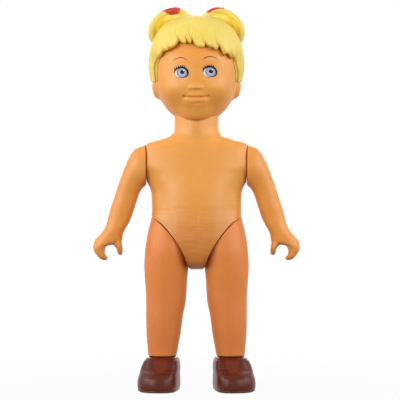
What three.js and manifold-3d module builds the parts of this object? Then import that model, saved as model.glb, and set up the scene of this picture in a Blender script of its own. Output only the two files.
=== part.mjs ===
// Articulated plastic doll of a block toy family: head, arms and legs turn on studs in a hollow torso.
// Millimetres. +Z is up, the face looks along -Y, and the doll's own left side is +X.
// The floor is z = 0 and the neck, shoulder and hip pivots all lie in the plane y = 0.
import * as THREE from 'three';
import { mergeVertices } from 'three/addons/utils/BufferGeometryUtils.js';
import Module from 'manifold-3d';

const wasm = await Module();
wasm.setup();

// Fits and walls
const GAP = 0.3; // between neighbouring pieces
const WALL = 2.2; // moulded wall of torso, head and legs
const FAR = 400; // beyond every piece, for the blocks that cut them

// Heights, stacked from the floor
const SHOE_HEIGHT = 18.4; // floor to shoe collar
const LEG_RISE = 60.8; // shoe collar to hip pivot
const TORSO_RISE = 43.5; // hip pivot to shoulder pivot
const NECK_RISE = 24.1; // shoulder pivot to the rim of the head's neck opening
const HEAD_RISE = 27.2; // that rim to the widest part of the head
const HIP_Z = SHOE_HEIGHT + LEG_RISE;
const SHOULDER_Z = HIP_Z + TORSO_RISE;
const CHIN_Z = SHOULDER_Z + NECK_RISE;
const HEAD_Z = CHIN_Z + HEAD_RISE;

// Torso
const CROTCH_DROP = 13.5; // hip pivot to the lowest point between the legs
const SHOULDER_HALF = 27.3; // centre plane to the shoulder seam
const SHOULDER_RADIUS = 11.2; // round joint face of the shoulder
const NECK_RADIUS = 12;
const NECK_ENGAGE = 3.6; // how far the neck stands up into the head

// Hip joint: a flat dome on the leg turns in a cup in the torso, about a slanted axis
const HIP_HALF = 13.9; // centre plane to the hip pivot
const HIP_TILT = 54.8 * Math.PI / 180; // axis away from straight down
const HIP_RADIUS = 18.2;
const HIP_DOME = 4.4; // height of the dome
const DOME_POWER = 2.8; // flatness of the dome
const DOME_STEPS = 6;

// Studs and rings
const STUD_RADIUS = 3.6;
const STUD_HEAD_RADIUS = 5.4;
const STUD_HEAD = 1.6; // thickness of a stud's head
const RING_THICKNESS = 1.2;
const RING_RADIUS = 6.2;
const ROUND_SIDES = 12; // facets round a stud, ring or bore

// Head shell, measured from the point at its widest height
const HEAD_HALF = 22.6;
const HEAD_FRONT = 21.3;
const HEAD_BACK = 22;
const HEAD_TOP = 27;
const HEAD_BOTTOM = 28.3;
const HEAD_POWER = 2.2; // squareness of the egg

// Hair cap, measured from the same point
const HAIR_HALF = 26.2;
const HAIR_FRONT = 23.9;
const HAIR_BACK = 24.53;
const HAIR_TOP = 30;
const HAIR_BOTTOM = 31;
const HAIR_POWER = 2.5;
const HAIR_EDGE = 0.6; // how far the lower edge is rounded off
const HAIR_FIT = 0.8; // from the head to the cap's inside, before the head is cut out of it

// Buns
const BUN_DEPTH = 7.2; // half depth of a loop, front to back
const WEB_DEPTH = 3.6; // half depth of the hair inside a loop
const WEB_CORNER = 13.5; // the web's inner corner, sideways and up, inside the cap
const TIE_WALL = 1.1;
const TIE_WIDTH = 7.4;
const TIE_WAIST = 0.5; // how far the tie draws the hair in

// Arm
const GRIP_RADIUS = 3.4; // the round of the C-shaped hand
const GRIP_OUT = 19.25; // shoulder face to the middle of the grip
const GRIP_DROP = 47.1; // shoulder pivot to the middle of the grip
const ARM_DEPTH = 6.2; // half depth of the wrist

// Shoe
const TOE_OUT = 14 * Math.PI / 180;
const ANKLE_X = 18.6; // centre plane to the middle of the ankle
const SHOE_FRONT = 25;
const SHOE_BACK = 12.4;
const SHOE_HALF = 9.6;
const SPIGOT_RADIUS = 4.6;
const SPIGOT_HEIGHT = 9;

const SKIN = new THREE.Color(0xe3a05a);
const LEG_SKIN = new THREE.Color(0xdd8d4f);
const HAIR_YELLOW = new THREE.Color(0xf4dd72);
const TIE_RED = new THREE.Color(0xb83a2e);
const SHOE_BROWN = new THREE.Color(0x5d3328);
const INNER_WHITE = new THREE.Color(0xe8e4da);

const finish = (color, roughness) => new THREE.MeshStandardMaterial({ color, roughness, metalness: 0 });

// A smooth curve through a few [position, value, value, ...] rows that never overshoots them.
function profile(rows) {
  const at = rows.map((row) => row[0]);
  const columns = rows[0].length - 1;
  const slopes = [];
  for (let c = 1; c <= columns; c += 1) {
    const secant = [];
    for (let i = 0; i < rows.length - 1; i += 1) {
      secant.push((rows[i + 1][c] - rows[i][c]) / (at[i + 1] - at[i]));
    }
    const slope = rows.map((_, i) => {
      if (i === 0) return secant[0];
      if (i === rows.length - 1) return secant[i - 1];
      const product = secant[i - 1] * secant[i];
      return product <= 0 ? 0 : 2 * product / (secant[i - 1] + secant[i]);
    });
    slopes.push(slope);
  }
  return (position) => {
    const p = Math.min(Math.max(position, at[0]), at[at.length - 1]);
    let i = 0;
    while (i < at.length - 2 && p > at[i + 1]) i += 1;
    const span = at[i + 1] - at[i];
    const u = (p - at[i]) / span;
    const start = (1 + 2 * u) * (1 - u) ** 2;
    const leave = u * (1 - u) ** 2 * span;
    const end = u * u * (3 - 2 * u);
    const arrive = u * u * (u - 1) * span;
    return slopes.map((slope, c) => start * rows[i][c + 1] + leave * slope[i]
      + end * rows[i + 1][c + 1] + arrive * slope[i + 1]);
  };
}

const bump = (distance, width) => Math.exp(-((distance / width) ** 2));
const signedPower = (value, power) => Math.sign(value) * Math.abs(value) ** power;

// Solids
function solidFromGeometry(geometry) {
  const bare = geometry.clone();
  bare.deleteAttribute('normal');
  bare.deleteAttribute('uv');
  const merged = mergeVertices(bare, 1e-5);
  const mesh = new wasm.Mesh({
    numProp: 3,
    vertProperties: new Float32Array(merged.attributes.position.array),
    triVerts: new Uint32Array(merged.index.array),
  });
  return new wasm.Manifold(mesh);
}

// The same, with every face turned over where the geometry was inside out.
function outwardSolid(geometry) {
  const solid = solidFromGeometry(geometry);
  if (solid.volume() > 0) return solid;
  const order = Array.from(geometry.index.array);
  geometry.setIndex(order.flatMap((_, i) => (i % 3 === 0 ? [order[i], order[i + 2], order[i + 1]] : [])));
  return solidFromGeometry(geometry);
}

// A closed solid through rings of equal count, each listed the same way round, with a fan at each end.
function loft(rings) {
  const count = rings[0].length;
  const positions = rings.flat().flatMap((point) => [point.x, point.y, point.z]);
  const index = [];
  for (let r = 0; r < rings.length - 1; r += 1) {
    for (let i = 0; i < count; i += 1) {
      const a = r * count + i;
      const b = r * count + (i + 1) % count;
      index.push(a, b, a + count, b, b + count, a + count);
    }
  }
  [0, rings.length - 1].forEach((r, end) => {
    const middle = rings[r].reduce((sum, point) => sum.add(point), new THREE.Vector3()).divideScalar(count);
    const tip = positions.length / 3;
    positions.push(middle.x, middle.y, middle.z);
    for (let i = 0; i < count; i += 1) {
      const a = r * count + i;
      const b = r * count + (i + 1) % count;
      index.push(...(end === 0 ? [b, a, tip] : [a, b, tip]));
    }
  });
  const geometry = new THREE.BufferGeometry();
  geometry.setAttribute('position', new THREE.Float32BufferAttribute(positions, 3));
  geometry.setIndex(index);
  return outwardSolid(geometry);
}

// A solid of revolution about +Z from [radius, height] points that start and end on the axis.
function revolve(points, segments) {
  const shape = points.map(([radius, height]) => new THREE.Vector2(radius, height));
  const geometry = new THREE.LatheGeometry(shape, segments);
  geometry.rotateX(Math.PI / 2);
  return outwardSolid(geometry);
}

function box(low, high) {
  const size = new THREE.Vector3().subVectors(high, low);
  const middle = new THREE.Vector3().addVectors(low, high).multiplyScalar(0.5);
  const geometry = new THREE.BoxGeometry(size.x, size.y, size.z);
  geometry.translate(middle.x, middle.y, middle.z);
  return solidFromGeometry(geometry);
}

// Places a solid made about +Z so that +Z points along a direction and its origin lies at a point.
function placeAlong(solid, direction, point) {
  const turn = new THREE.Quaternion().setFromUnitVectors(new THREE.Vector3(0, 0, 1), direction);
  const matrix = new THREE.Matrix4().compose(point, turn, new THREE.Vector3(1, 1, 1));
  return solid.transform(matrix.elements);
}

const mirrored = (solid) => solid.mirror([1, 0, 0]);

function mesh(name, solid, material) {
  const data = solid.getMesh();
  const geometry = new THREE.BufferGeometry();
  const count = data.vertProperties.length / data.numProp;
  const positions = new Float32Array(count * 3);
  for (let i = 0; i < count; i += 1) {
    for (let axis = 0; axis < 3; axis += 1) {
      positions[3 * i + axis] = data.vertProperties[i * data.numProp + axis];
    }
  }
  geometry.setAttribute('position', new THREE.BufferAttribute(positions, 3));
  geometry.setIndex(Array.from(data.triVerts));
  geometry.computeVertexNormals();
  const result = new THREE.Mesh(geometry, material);
  result.name = name;
  return result;
}

// A level ring: a rounded box outline with its own reach to the side, to the front and to the back.
function levelRing(centreX, z, half, front, back, power, count) {
  return Array.from({ length: count }, (_, i) => {
    const angle = 2 * Math.PI * i / count;
    const side = signedPower(Math.cos(angle), 2 / power) * half;
    const along = signedPower(Math.sin(angle), 2 / power);
    return new THREE.Vector3(centreX + side, along * (along < 0 ? front : back), z);
  });
}

// A ring across a limb: it runs from an inner point to an outer point in the XZ plane, and bulges in Y.
function limbRing(inner, outer, depth, power, count) {
  return Array.from({ length: count }, (_, i) => {
    const angle = 2 * Math.PI * i / count;
    const across = (1 - signedPower(Math.cos(angle), 2 / power)) / 2;
    const y = signedPower(Math.sin(angle), 2 / power) * depth;
    return new THREE.Vector3(
      inner[0] + (outer[0] - inner[0]) * across,
      y,
      inner[1] + (outer[1] - inner[1]) * across,
    );
  });
}

// Torso
const CROTCH_Z = HIP_Z - CROTCH_DROP;
const NECK_TOP_Z = CHIN_Z + NECK_ENGAGE;

// height, half width, reach to the front, reach to the back, squareness
const trunkRows = [
  [CROTCH_Z, 27, 6, 7, 2.3],
  [CROTCH_Z + 1.5, 27.8, 9.8, 10.8, 2.4],
  [CROTCH_Z + 5, 28.4, 13.4, 14.4, 2.4],
  [HIP_Z - 1.7, 27.9, 15.4, 16.4, 2.5],
  [HIP_Z + 5, 26.8, 16, 16.2, 2.5],
  [HIP_Z + 11.3, 25.1, 16, 14.6, 2.5],
  [HIP_Z + 19, 24.3, 15.4, 13.2, 2.4],
  [SHOULDER_Z - SHOULDER_RADIUS - 4.5, 24.7, 14.9, 12.8, 2.4],
  [SHOULDER_Z - SHOULDER_RADIUS - 0.7, 26.4, 14.8, 12.9, 2.4],
  [SHOULDER_Z - 0.78 * SHOULDER_RADIUS, 30, 14.7, 13.1, 2.4],
  [SHOULDER_Z, SHOULDER_HALF + 6.2, 14.3, 13.5, 2.3],
  [SHOULDER_Z + 0.75 * SHOULDER_RADIUS, 31, 13.2, 12.8, 2.3],
  [SHOULDER_Z + SHOULDER_RADIUS + 0.6, 26.9, 12.4, 12.4, 2.2],
  [SHOULDER_Z + SHOULDER_RADIUS + 2.5, 21.3, 12, 12, 2.1],
  [SHOULDER_Z + SHOULDER_RADIUS + 4.7, 15, NECK_RADIUS - 0.1, NECK_RADIUS - 0.1, 2],
  [SHOULDER_Z + SHOULDER_RADIUS + 7, NECK_RADIUS + 0.4, NECK_RADIUS, NECK_RADIUS, 2],
  [SHOULDER_Z + SHOULDER_RADIUS + 9, NECK_RADIUS, NECK_RADIUS, NECK_RADIUS, 2],
  [NECK_TOP_Z, NECK_RADIUS, NECK_RADIUS, NECK_RADIUS, 2],
];

const trunkShape = profile(trunkRows);

// The outer form of the body: a ring at each row's height, and midway where two rows lie far apart.
function trunkForm() {
  const heights = trunkRows.flatMap(([z], i) => {
    const next = i + 1 < trunkRows.length ? trunkRows[i + 1][0] : z;
    return next - z > 5 ? [z, (z + next) / 2] : [z];
  });
  return loft(heights.map((z) => levelRing(0, z, ...trunkShape(z), 28)));
}

// The hollow inside it, a wall's thickness away from the outer form sideways, upwards and downwards.
function trunkHollow() {
  const low = CROTCH_Z + WALL;
  const high = NECK_TOP_Z - WALL;
  const heights = [low, HIP_Z, HIP_Z + 12, SHOULDER_Z - SHOULDER_RADIUS - 6, SHOULDER_Z - SHOULDER_RADIUS + 3,
    SHOULDER_Z, SHOULDER_Z + SHOULDER_RADIUS - 2, SHOULDER_Z + SHOULDER_RADIUS + 1.5,
    SHOULDER_Z + SHOULDER_RADIUS + 4, high];
  return loft(heights.map((z) => {
    const near = [z - WALL, z, z + WALL].map(trunkShape);
    const [half, front, back] = [0, 1, 2].map((c) => Math.min(...near.map((shape) => shape[c])) - WALL);
    return levelRing(0, z, half, front, back, 2.2, 16);
  }));
}

// The hip joint's dividing form, a solid of revolution about the hip axis that fills the leg's side.
// outset moves its skin towards the torso.
function hipForm(outset) {
  const dome = Array.from({ length: DOME_STEPS }, (_, i) => {
    const share = Math.sin(i / DOME_STEPS * Math.PI / 2);
    const height = (1 - share ** DOME_POWER) ** (1 / DOME_POWER);
    return [(HIP_RADIUS + outset) * share, -(HIP_DOME + outset) * height];
  });
  return [...dome, [HIP_RADIUS + outset, -outset], [FAR, -outset], [FAR, FAR], [0, FAR]];
}

const hipAxis = new THREE.Vector3(Math.sin(HIP_TILT), 0, -Math.cos(HIP_TILT));
const hipPoint = new THREE.Vector3(HIP_HALF, 0, HIP_Z);
const hipSide = (outset, sides) => placeAlong(revolve(hipForm(outset), sides), hipAxis, hipPoint);

const shoulderAxis = new THREE.Vector3(1, 0, 0);
const shoulderPoint = new THREE.Vector3(SHOULDER_HALF, 0, SHOULDER_Z);
const up = new THREE.Vector3(0, 0, 1);

const rod = (radius, from, to, sides = ROUND_SIDES) => (
  revolve([[0, from], [radius, from], [radius, to], [0, to]], sides)
);

function washer(inner, outer, from, to) {
  return rod(outer, from, to).subtract(rod(inner, from - 1, to + 1));
}

function buildTorso() {
  const shoulderPlane = SHOULDER_HALF - GAP / 2;
  const slab = box(new THREE.Vector3(-shoulderPlane, -FAR, 0), new THREE.Vector3(shoulderPlane, FAR, FAR));
  const innerSlab = box(
    new THREE.Vector3(-shoulderPlane + WALL, -FAR, 0),
    new THREE.Vector3(shoulderPlane - WALL, FAR, FAR),
  );
  let shell = trunkForm().intersect(slab);
  let hollow = trunkHollow().intersect(innerSlab);
  const cup = hipSide(GAP / 2, 24);
  const cupWall = hipSide(GAP / 2 + WALL, 12);
  shell = shell.subtract(cup).subtract(mirrored(cup));
  hollow = hollow.subtract(cupWall).subtract(mirrored(cupWall));
  shell = shell.subtract(hollow);

  const shoulderHole = placeAlong(rod(STUD_RADIUS + GAP, -12, 4), shoulderAxis, shoulderPoint);
  const hipHole = placeAlong(rod(STUD_RADIUS + GAP, -HIP_DOME - WALL - 4, 0), hipAxis, hipPoint);
  const neckHole = placeAlong(rod(STUD_RADIUS + GAP, -WALL - 4, 4), up, new THREE.Vector3(0, 0, NECK_TOP_Z));
  [shoulderHole, mirrored(shoulderHole), hipHole, mirrored(hipHole), neckHole].forEach((hole) => {
    shell = shell.subtract(hole);
  });
  const front = box(new THREE.Vector3(-FAR, -FAR, 0), new THREE.Vector3(FAR, -GAP / 2, FAR));
  const back = box(new THREE.Vector3(-FAR, GAP / 2, 0), new THREE.Vector3(FAR, FAR, FAR));
  return [shell.intersect(front), shell.intersect(back)];
}

// Head: an egg of four quarters, raised and sunk by the features of the face
const NOSE_DROP = 10.4;
const MOUTH_DROP = 15.3;
const MOUTH_HALF = 6.7;
const EYE_HALF = 7.65;
const EYE_DROP = 2.1;
const EAR_DROP = 9.8;
const CHIN_DROP = 20.8;
const CHEEK_HALF = 12.4;
const CHEEK_DROP = 11.7;
const JAW_DEPTH = 2.7; // how far the chin hangs below the egg in front

function eggRadius(direction, half, front, back, top, bottom, power) {
  const depth = direction.y < 0 ? front : back;
  const rise = direction.z > 0 ? top : bottom;
  const level = (Math.abs(direction.x / half) ** 2.2 + Math.abs(direction.y / depth) ** 2.2) ** (power / 2.2);
  return (level + Math.abs(direction.z / rise) ** power) ** (-1 / power);
}

function faceRelief(x, y, z) {
  const frontness = THREE.MathUtils.smoothstep(-y, 4, 14);
  const sideness = THREE.MathUtils.smoothstep(Math.abs(x), 16, 20);
  const a = Math.abs(x);
  const nose = 2.5 * bump(x, 2.9) * bump(z + NOSE_DROP, z > -NOSE_DROP ? 2.6 : 1.7);
  const muzzle = 0.9 * bump(x, 8.5) * bump(z + MOUTH_DROP, 5.5);
  const mouthLine = z + MOUTH_DROP - 0.5 * (x / MOUTH_HALF) ** 2;
  const groove = -0.8 * bump(mouthLine, 0.9) * THREE.MathUtils.smoothstep(MOUTH_HALF + 1.2 - a, 0, 1.6);
  const corners = -0.7 * bump(a - MOUTH_HALF, 1.3) * bump(mouthLine, 1.3);
  const lips = 0.4 * bump(x, 4.6) * (bump(mouthLine - 1.8, 1.3) + bump(mouthLine + 2.2, 1.6));
  const chin = 1.1 * bump(x, 6.4) * bump(z + CHIN_DROP, 3.4);
  const cheeks = 1.2 * bump(a - CHEEK_HALF, 5.6) * bump(z + CHEEK_DROP, 5);
  const sockets = -0.7 * bump(a - EYE_HALF, 4.8) * bump(z + EYE_DROP, 4.2);
  const jaw = JAW_DEPTH * bump(x, 8.5) * THREE.MathUtils.smoothstep(-z, 19, 25)
    * THREE.MathUtils.smoothstep(-y, 5, 11);
  const ear = 3.6 * bump((y - 2.5) / 3.4, 1) ** 2 * bump((z + EAR_DROP) / 5.6, 1) ** 2;
  const face = nose + muzzle + groove + corners + lips + chin + cheeks + sockets;
  return frontness * face + jaw + sideness * ear;
}

const directionAt = (azimuth, polar) => new THREE.Vector3(
  Math.sin(polar) * Math.sin(azimuth),
  -Math.sin(polar) * Math.cos(azimuth),
  Math.cos(polar),
);

function headEgg(direction) {
  return eggRadius(direction, HEAD_HALF, HEAD_FRONT, HEAD_BACK, HEAD_TOP, HEAD_BOTTOM, HEAD_POWER);
}

function headRadius(direction) {
  const plain = headEgg(direction);
  return plain + faceRelief(direction.x * plain, direction.y * plain, direction.z * plain);
}

const headCentre = new THREE.Vector3(0, 0, HEAD_Z);

// A closed star-shaped solid round the head's centre from columns of azimuth and rows of polar angle.
function starForm(azimuths, polars, radiusOf) {
  return loft(polars.map((polar) => azimuths.map((azimuth) => {
    const direction = directionAt(azimuth, polar);
    return direction.multiplyScalar(radiusOf(direction.clone())).add(headCentre);
  })));
}

// Azimuths that crowd towards the face at azimuth 0.
function headAzimuths(count, crowding) {
  return Array.from({ length: count }, (_, i) => {
    const even = 2 * Math.PI * i / count - Math.PI;
    return even - crowding * Math.sin(even);
  });
}

// The head's outer form, grown by an outset; rows crowd towards the face, from brow to chin.
const HEAD_ROWS = 23;
const headPolar = profile([[0, 5], [0.24, 68], [0.82, 137], [1, 170]]);

function headForm(outset) {
  const rows = Array.from({ length: HEAD_ROWS + 1 }, (_, i) => (
    THREE.MathUtils.degToRad(headPolar(i / HEAD_ROWS)[0])
  ));
  return starForm(headAzimuths(36, 0.5), rows, (direction) => headRadius(direction) + outset);
}

function buildHead() {
  const outside = headForm(0);
  const insideColumns = headAzimuths(12, 0);
  const insideRows = Array.from({ length: 7 }, (_, i) => Math.PI * (i + 0.4) / 6.8);
  const inside = starForm(insideColumns, insideRows, (direction) => eggRadius(
    direction, HEAD_HALF - WALL, HEAD_FRONT - WALL, HEAD_BACK - WALL, HEAD_TOP - WALL, HEAD_BOTTOM - WALL, HEAD_POWER,
  ));
  const floorLow = NECK_TOP_Z + GAP;
  const floorHigh = floorLow + WALL;
  const aboveFloor = box(new THREE.Vector3(-FAR, -FAR, floorHigh), new THREE.Vector3(FAR, FAR, FAR));
  const socket = placeAlong(rod(NECK_RADIUS + GAP, -30, 0, 32), up, new THREE.Vector3(0, 0, floorLow));
  const studHole = placeAlong(rod(STUD_RADIUS + GAP, -4, WALL + 4), up, new THREE.Vector3(0, 0, floorLow));
  return outside.subtract(inside.intersect(aboveFloor)).subtract(socket).subtract(studHole);
}

// Hair: a cap over the head whose lower edge follows the locks of the fringe.
// The fringe's edge as [sideways, height] from the head's centre, from the doll's right to its left
const fringe = [
  [-22.9, -4.6], [-22.4, 0.4], [-21.9, 3], [-21.1, 4.9], [-19.2, 6.8], [-18.2, 8.2], [-17.7, 9.2],
  [-15.6, 9.6], [-14.2, 10.3], [-12.2, 11.1], [-10.9, 12.2], [-9.3, 14.6], [-8.7, 13.8], [-5.9, 13],
  [-5.2, 14.6], [-4.6, 13.5], [-3, 13.1], [-2.4, 14.7], [-1.6, 13.4], [0, 11.7], [1.7, 10.8], [4, 10.8],
  [4.8, 12.6], [5.6, 11.8], [8.9, 10.7], [10.4, 9.6], [11.2, 9.6], [11.9, 11.6], [13.5, 9.3], [15.1, 6.9],
  [15.8, 7.6], [17.2, 7.4], [19.1, 5.3], [19.8, 5.9], [20.7, 4.2], [21.5, 1], [22.1, -1.8], [22.9, -4.6],
];
// The rest of the edge as [degrees from the face, height], alike on both sides up to the middle of the back
const nape = [
  [66, -6.6], [76, -6.8], [88, -5.8], [104, -6.5], [122, -13], [136, -15.4], [150, -17], [165, -17.3], [180, -17.4],
];
const STRAIGHT_TO = 78; // degrees from the face up to which the edge runs straight back to the head
const DRAWN_BACK = 3; // how far the hair is drawn in towards a bun
const DRAWN_X = 18.5;
const DRAWN_Z = 25;
const DRAWN_SPREAD = 7;

function hairRadius(direction) {
  const plain = eggRadius(direction, HAIR_HALF, HAIR_FRONT, HAIR_BACK, HAIR_TOP, HAIR_BOTTOM, HAIR_POWER);
  const away = Math.hypot(Math.abs(direction.x) * plain - DRAWN_X, direction.z * plain - DRAWN_Z);
  const inFront = THREE.MathUtils.smoothstep(-direction.y * plain, -9, 3);
  return plain - DRAWN_BACK * bump(away, DRAWN_SPREAD) * inFront;
}

// The polar angle, along a direction of azimuth, where a star-shaped form has a height.
function polarAtHeight(azimuth, height, radiusOf) {
  let low = 0.2;
  let high = 2.8;
  for (let pass = 0; pass < 30; pass += 1) {
    const polar = (low + high) / 2;
    if (radiusOf(directionAt(azimuth, polar)) * Math.cos(polar) > height) low = polar;
    else high = polar;
  }
  return (low + high) / 2;
}

// The azimuth at which the front of a star-shaped form passes through a place seen from the front.
function azimuthInFront(x, height, radiusOf) {
  let y = -HAIR_FRONT;
  for (let pass = 0; pass < 20; pass += 1) {
    const radius = radiusOf(new THREE.Vector3(x, y, height).normalize());
    y = -Math.sqrt(Math.max(radius ** 2 - x ** 2 - height ** 2, 1));
  }
  return Math.atan2(x, -y);
}

// One column per point of the edge: where the cap's outside ends, and where its inside starts.
function hairColumns() {
  const edgeRadius = (direction) => hairRadius(direction) - HAIR_EDGE;
  const insideRadius = (direction) => headEgg(direction) + HAIR_FIT;
  const front = fringe.map(([x, height]) => [azimuthInFront(x, height, edgeRadius), x, height]);
  const left = nape.map(([degrees, height]) => [THREE.MathUtils.degToRad(degrees), HAIR_HALF, height]);
  const right = left.slice(0, -1).map(([azimuth, x, height]) => [-azimuth, -x, height]).reverse();
  const limit = THREE.MathUtils.degToRad(STRAIGHT_TO);
  return [...right, ...front, ...left].map(([azimuth, x, height]) => {
    const straight = Math.abs(azimuthInFront(x, height, insideRadius));
    const size = Math.abs(azimuth);
    const most = size < limit ? size + 0.9 * (limit - size) : size;
    const inner = Math.sign(azimuth) * Math.max(size, Math.min(straight, most));
    return {
      outer: azimuth,
      outerPolar: polarAtHeight(azimuth, height, edgeRadius),
      inner,
      innerPolar: polarAtHeight(inner, height, insideRadius),
    };
  });
}

// The cap as one closed skin: out from the crown to the edge, straight back to the head, and up inside.
function buildHairCap() {
  const columns = hairColumns();
  const outsideShares = [0.04, 0.16, 0.3, 0.45, 0.6, 0.75, 0.89, 0.96];
  const outside = outsideShares.map((share) => columns.map(({ outer, outerPolar }) => (
    [directionAt(outer, share * outerPolar), 0]
  )));
  outside.push(columns.map(({ outer, outerPolar }) => [directionAt(outer, outerPolar), HAIR_EDGE]));
  const insideShares = [1, 0.86, 0.7, 0.54, 0.38, 0.22, 0.04];
  const inside = insideShares.map((share) => columns.map(({ inner, innerPolar }) => (
    directionAt(inner, share * innerPolar)
  )));
  return loft([
    ...outside.map((row) => row.map(([direction, thin]) => (
      direction.clone().multiplyScalar(hairRadius(direction) - thin).add(headCentre)
    ))),
    ...inside.map((row) => row.map((direction) => (
      direction.clone().multiplyScalar(headEgg(direction) + HAIR_FIT).add(headCentre)
    ))),
  ]);
}

// A bun's loop as [x, z offset from the head's centre, half thickness, half depth], from crown to temple
const bunPath = [
  [2.4, 25.6, 2, 4.6],
  [6.2, 30.2, 2.2, 5.2],
  [10.2, 32.2, 2.3, 5.2],
  [14.2, 31.9, 2.3, 5.3],
  [18.2, 30.2, 2.4, 6],
  [21.5, 27.4, 2.5, 6.8],
  [23.5, 23.9, 2.5, BUN_DEPTH],
  [24, 20.4, 2.5, 7],
  [22.9, 17, 2.4, 6.2],
  [20.6, 14.2, 2, 5],
];
const BUN_BACK = 3; // centre of the loop behind the pivots' plane

const bunCurve = new THREE.CatmullRomCurve3(bunPath.map(([x, z]) => (
  new THREE.Vector3(x, BUN_BACK, HEAD_Z + z)
)));

function bunRings(grow, from, to, count, sides) {
  const size = profile(bunPath.map(([, , thick, deep], i) => [i / (bunPath.length - 1), thick, deep]));
  return Array.from({ length: count + 1 }, (_, i) => {
    const t = from + (to - from) * i / count;
    const centre = bunCurve.getPointAt(t);
    const along = bunCurve.getTangentAt(t);
    const across = new THREE.Vector3(along.z, 0, -along.x);
    const [thick, deep] = size(t);
    return Array.from({ length: sides }, (_unused, k) => {
      const angle = 2 * Math.PI * k / sides;
      return centre.clone()
        .addScaledVector(across, signedPower(Math.cos(angle), 0.85) * (thick + grow))
        .add(new THREE.Vector3(0, signedPower(Math.sin(angle), 0.85) * (deep + grow), 0));
    });
  });
}

const TIE_AT = 0.32; // place of the tie along the loop, as a share of its length

// A stretch of the loop, grown all round and lengthened at both ends.
function tieBand(grow, longer) {
  const halfSpan = (TIE_WIDTH / 2 + longer) / bunCurve.getLength();
  return loft(bunRings(grow, TIE_AT - halfSpan, TIE_AT + halfSpan, 3, 10));
}

function buildHair() {
  const loop = loft(bunRings(0, 0, 1, 14, 10));
  const web = loft([-1, 1].map((side) => {
    const y = BUN_BACK + WEB_DEPTH * side;
    const outline = bunPath.slice(0, 9).map(([x, z]) => new THREE.Vector3(x, y, HEAD_Z + z));
    outline.push(new THREE.Vector3(WEB_CORNER, y, HEAD_Z + WEB_CORNER));
    return outline;
  }));
  const tieRoom = tieBand(TIE_WALL + GAP, GAP).subtract(tieBand(-TIE_WAIST, GAP + 1));
  const bun = loop.add(web).subtract(tieRoom);
  const cap = buildHairCap().subtract(tieRoom).subtract(mirrored(tieRoom));
  return cap.add(bun).add(mirrored(bun)).subtract(headForm(GAP));
}

function buildTie() {
  return tieBand(TIE_WALL, 0).subtract(tieBand(GAP - TIE_WAIST, 1));
}

// A point beside the hand's grip, at an angle from sideways and so far beyond its round.
function grip(degrees, beyond) {
  const angle = THREE.MathUtils.degToRad(degrees);
  const reach = GRIP_RADIUS + beyond;
  return [GRIP_OUT + reach * Math.cos(angle), -GRIP_DROP + reach * Math.sin(angle)];
}

// Arm: cross sections as inner point, outer point and half depth, from the shoulder to the fingertips.
// Points are measured from the middle of the shoulder face, sideways and up.
const armRibs = [
  [[0, -SHOULDER_RADIUS], [0, SHOULDER_RADIUS], 10.8],
  [[0.5, -11.6], [5.7, 8.8], 10.5],
  [[1.2, -12.1], [10.4, 1.7], 9.6],
  [[2.2, -13.2], [13.5, -6.2], 8.3],
  [[3.7, -15.8], [15.6, -12], 7.4],
  [[5.2, -20.2], [17.8, -19], 6.8],
  [[6.7, -24.8], [19.6, -24.4], 6.5],
  [[8.3, -29.4], [20.8, -29], ARM_DEPTH],
  [[10, -32.8], [21.8, -33], ARM_DEPTH],
  [[11.4, -35.2], [23.8, -36.4], ARM_DEPTH],
  [[12.7, -38], [26, -39], 6.1],
  [[14.4, -41], [28, -41.2], 5.9],
  [grip(100, 0), grip(24, 6.9), 5.7],
  [grip(60, 0), grip(6.5, 6.3), 5.4],
  [grip(20, 0), grip(-3, 5.6), 5],
  [grip(-12, 0), grip(-18, 4.6), 4.6],
  [grip(-42, 0), grip(-35, 3.9), 4],
  [grip(-62, 0.4), grip(-50, 3.1), 2.6],
];
const thumbRibs = [
  [[12.9, -38.4], [19.5, -39.5], 6],
  [[13.3, -41.7], [18.9, -42.4], 5.7],
  [[13.1, -44.1], grip(120, 0), 5],
  [[12.8, -46.2], grip(165, 0), 4.1],
  [[12.8, -47.8], grip(190, 0), 3.1],
  [[13.1, -48.9], grip(203, 0.9), 1.8],
];

function ribSolid(ribs, power, count) {
  const place = ([x, z]) => [SHOULDER_HALF + GAP / 2 + x, SHOULDER_Z + z];
  return loft(ribs.map(([inner, outer, depth]) => limbRing(place(inner), place(outer), depth, power, count)));
}

function buildArm() {
  const limb = ribSolid(armRibs, 2.3, 16);
  const thumb = ribSolid(thumbRibs, 2.3, 10);
  const shaftEnd = -GAP / 2 - WALL - GAP - RING_THICKNESS - GAP;
  const shaft = placeAlong(rod(STUD_RADIUS, shaftEnd - STUD_HEAD, 3), shoulderAxis, shoulderPoint);
  const shaftHead = placeAlong(rod(STUD_HEAD_RADIUS, shaftEnd - STUD_HEAD, shaftEnd), shoulderAxis, shoulderPoint);
  return limb.add(thumb).add(shaft).add(shaftHead);
}

function buildShoulderRing() {
  const near = -GAP / 2 - WALL - GAP;
  return placeAlong(washer(STUD_RADIUS + GAP, RING_RADIUS, near - RING_THICKNESS, near), shoulderAxis, shoulderPoint);
}

// Leg: share of the rise from ankle to hip, inner side, outer side, reach to the front and to the back
const legRows = [
  [0, 10.9, 26.2, 8.2, 8.4],
  [0.1, 9.8, 26.8, 8.7, 8.9],
  [0.22, 8.5, 27.3, 9.5, 9.7],
  [0.36, 7.4, 27.5, 10.2, 10.2],
  [0.5, 5.8, 27.5, 10.9, 10.8],
  [0.68, 5.1, 28.1, 12.4, 12.6],
  [0.8, 4.4, 28.5, 13.6, 14],
  [0.95, 3.6, 28, 15, 15.8],
  [1.1, 3.4, 26.6, 15.6, 15.8],
  [1.24, 3.4, 24.5, 15.6, 15],
  [1.3, 3.4, 23.6, 15.4, 14.4],
];

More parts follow.
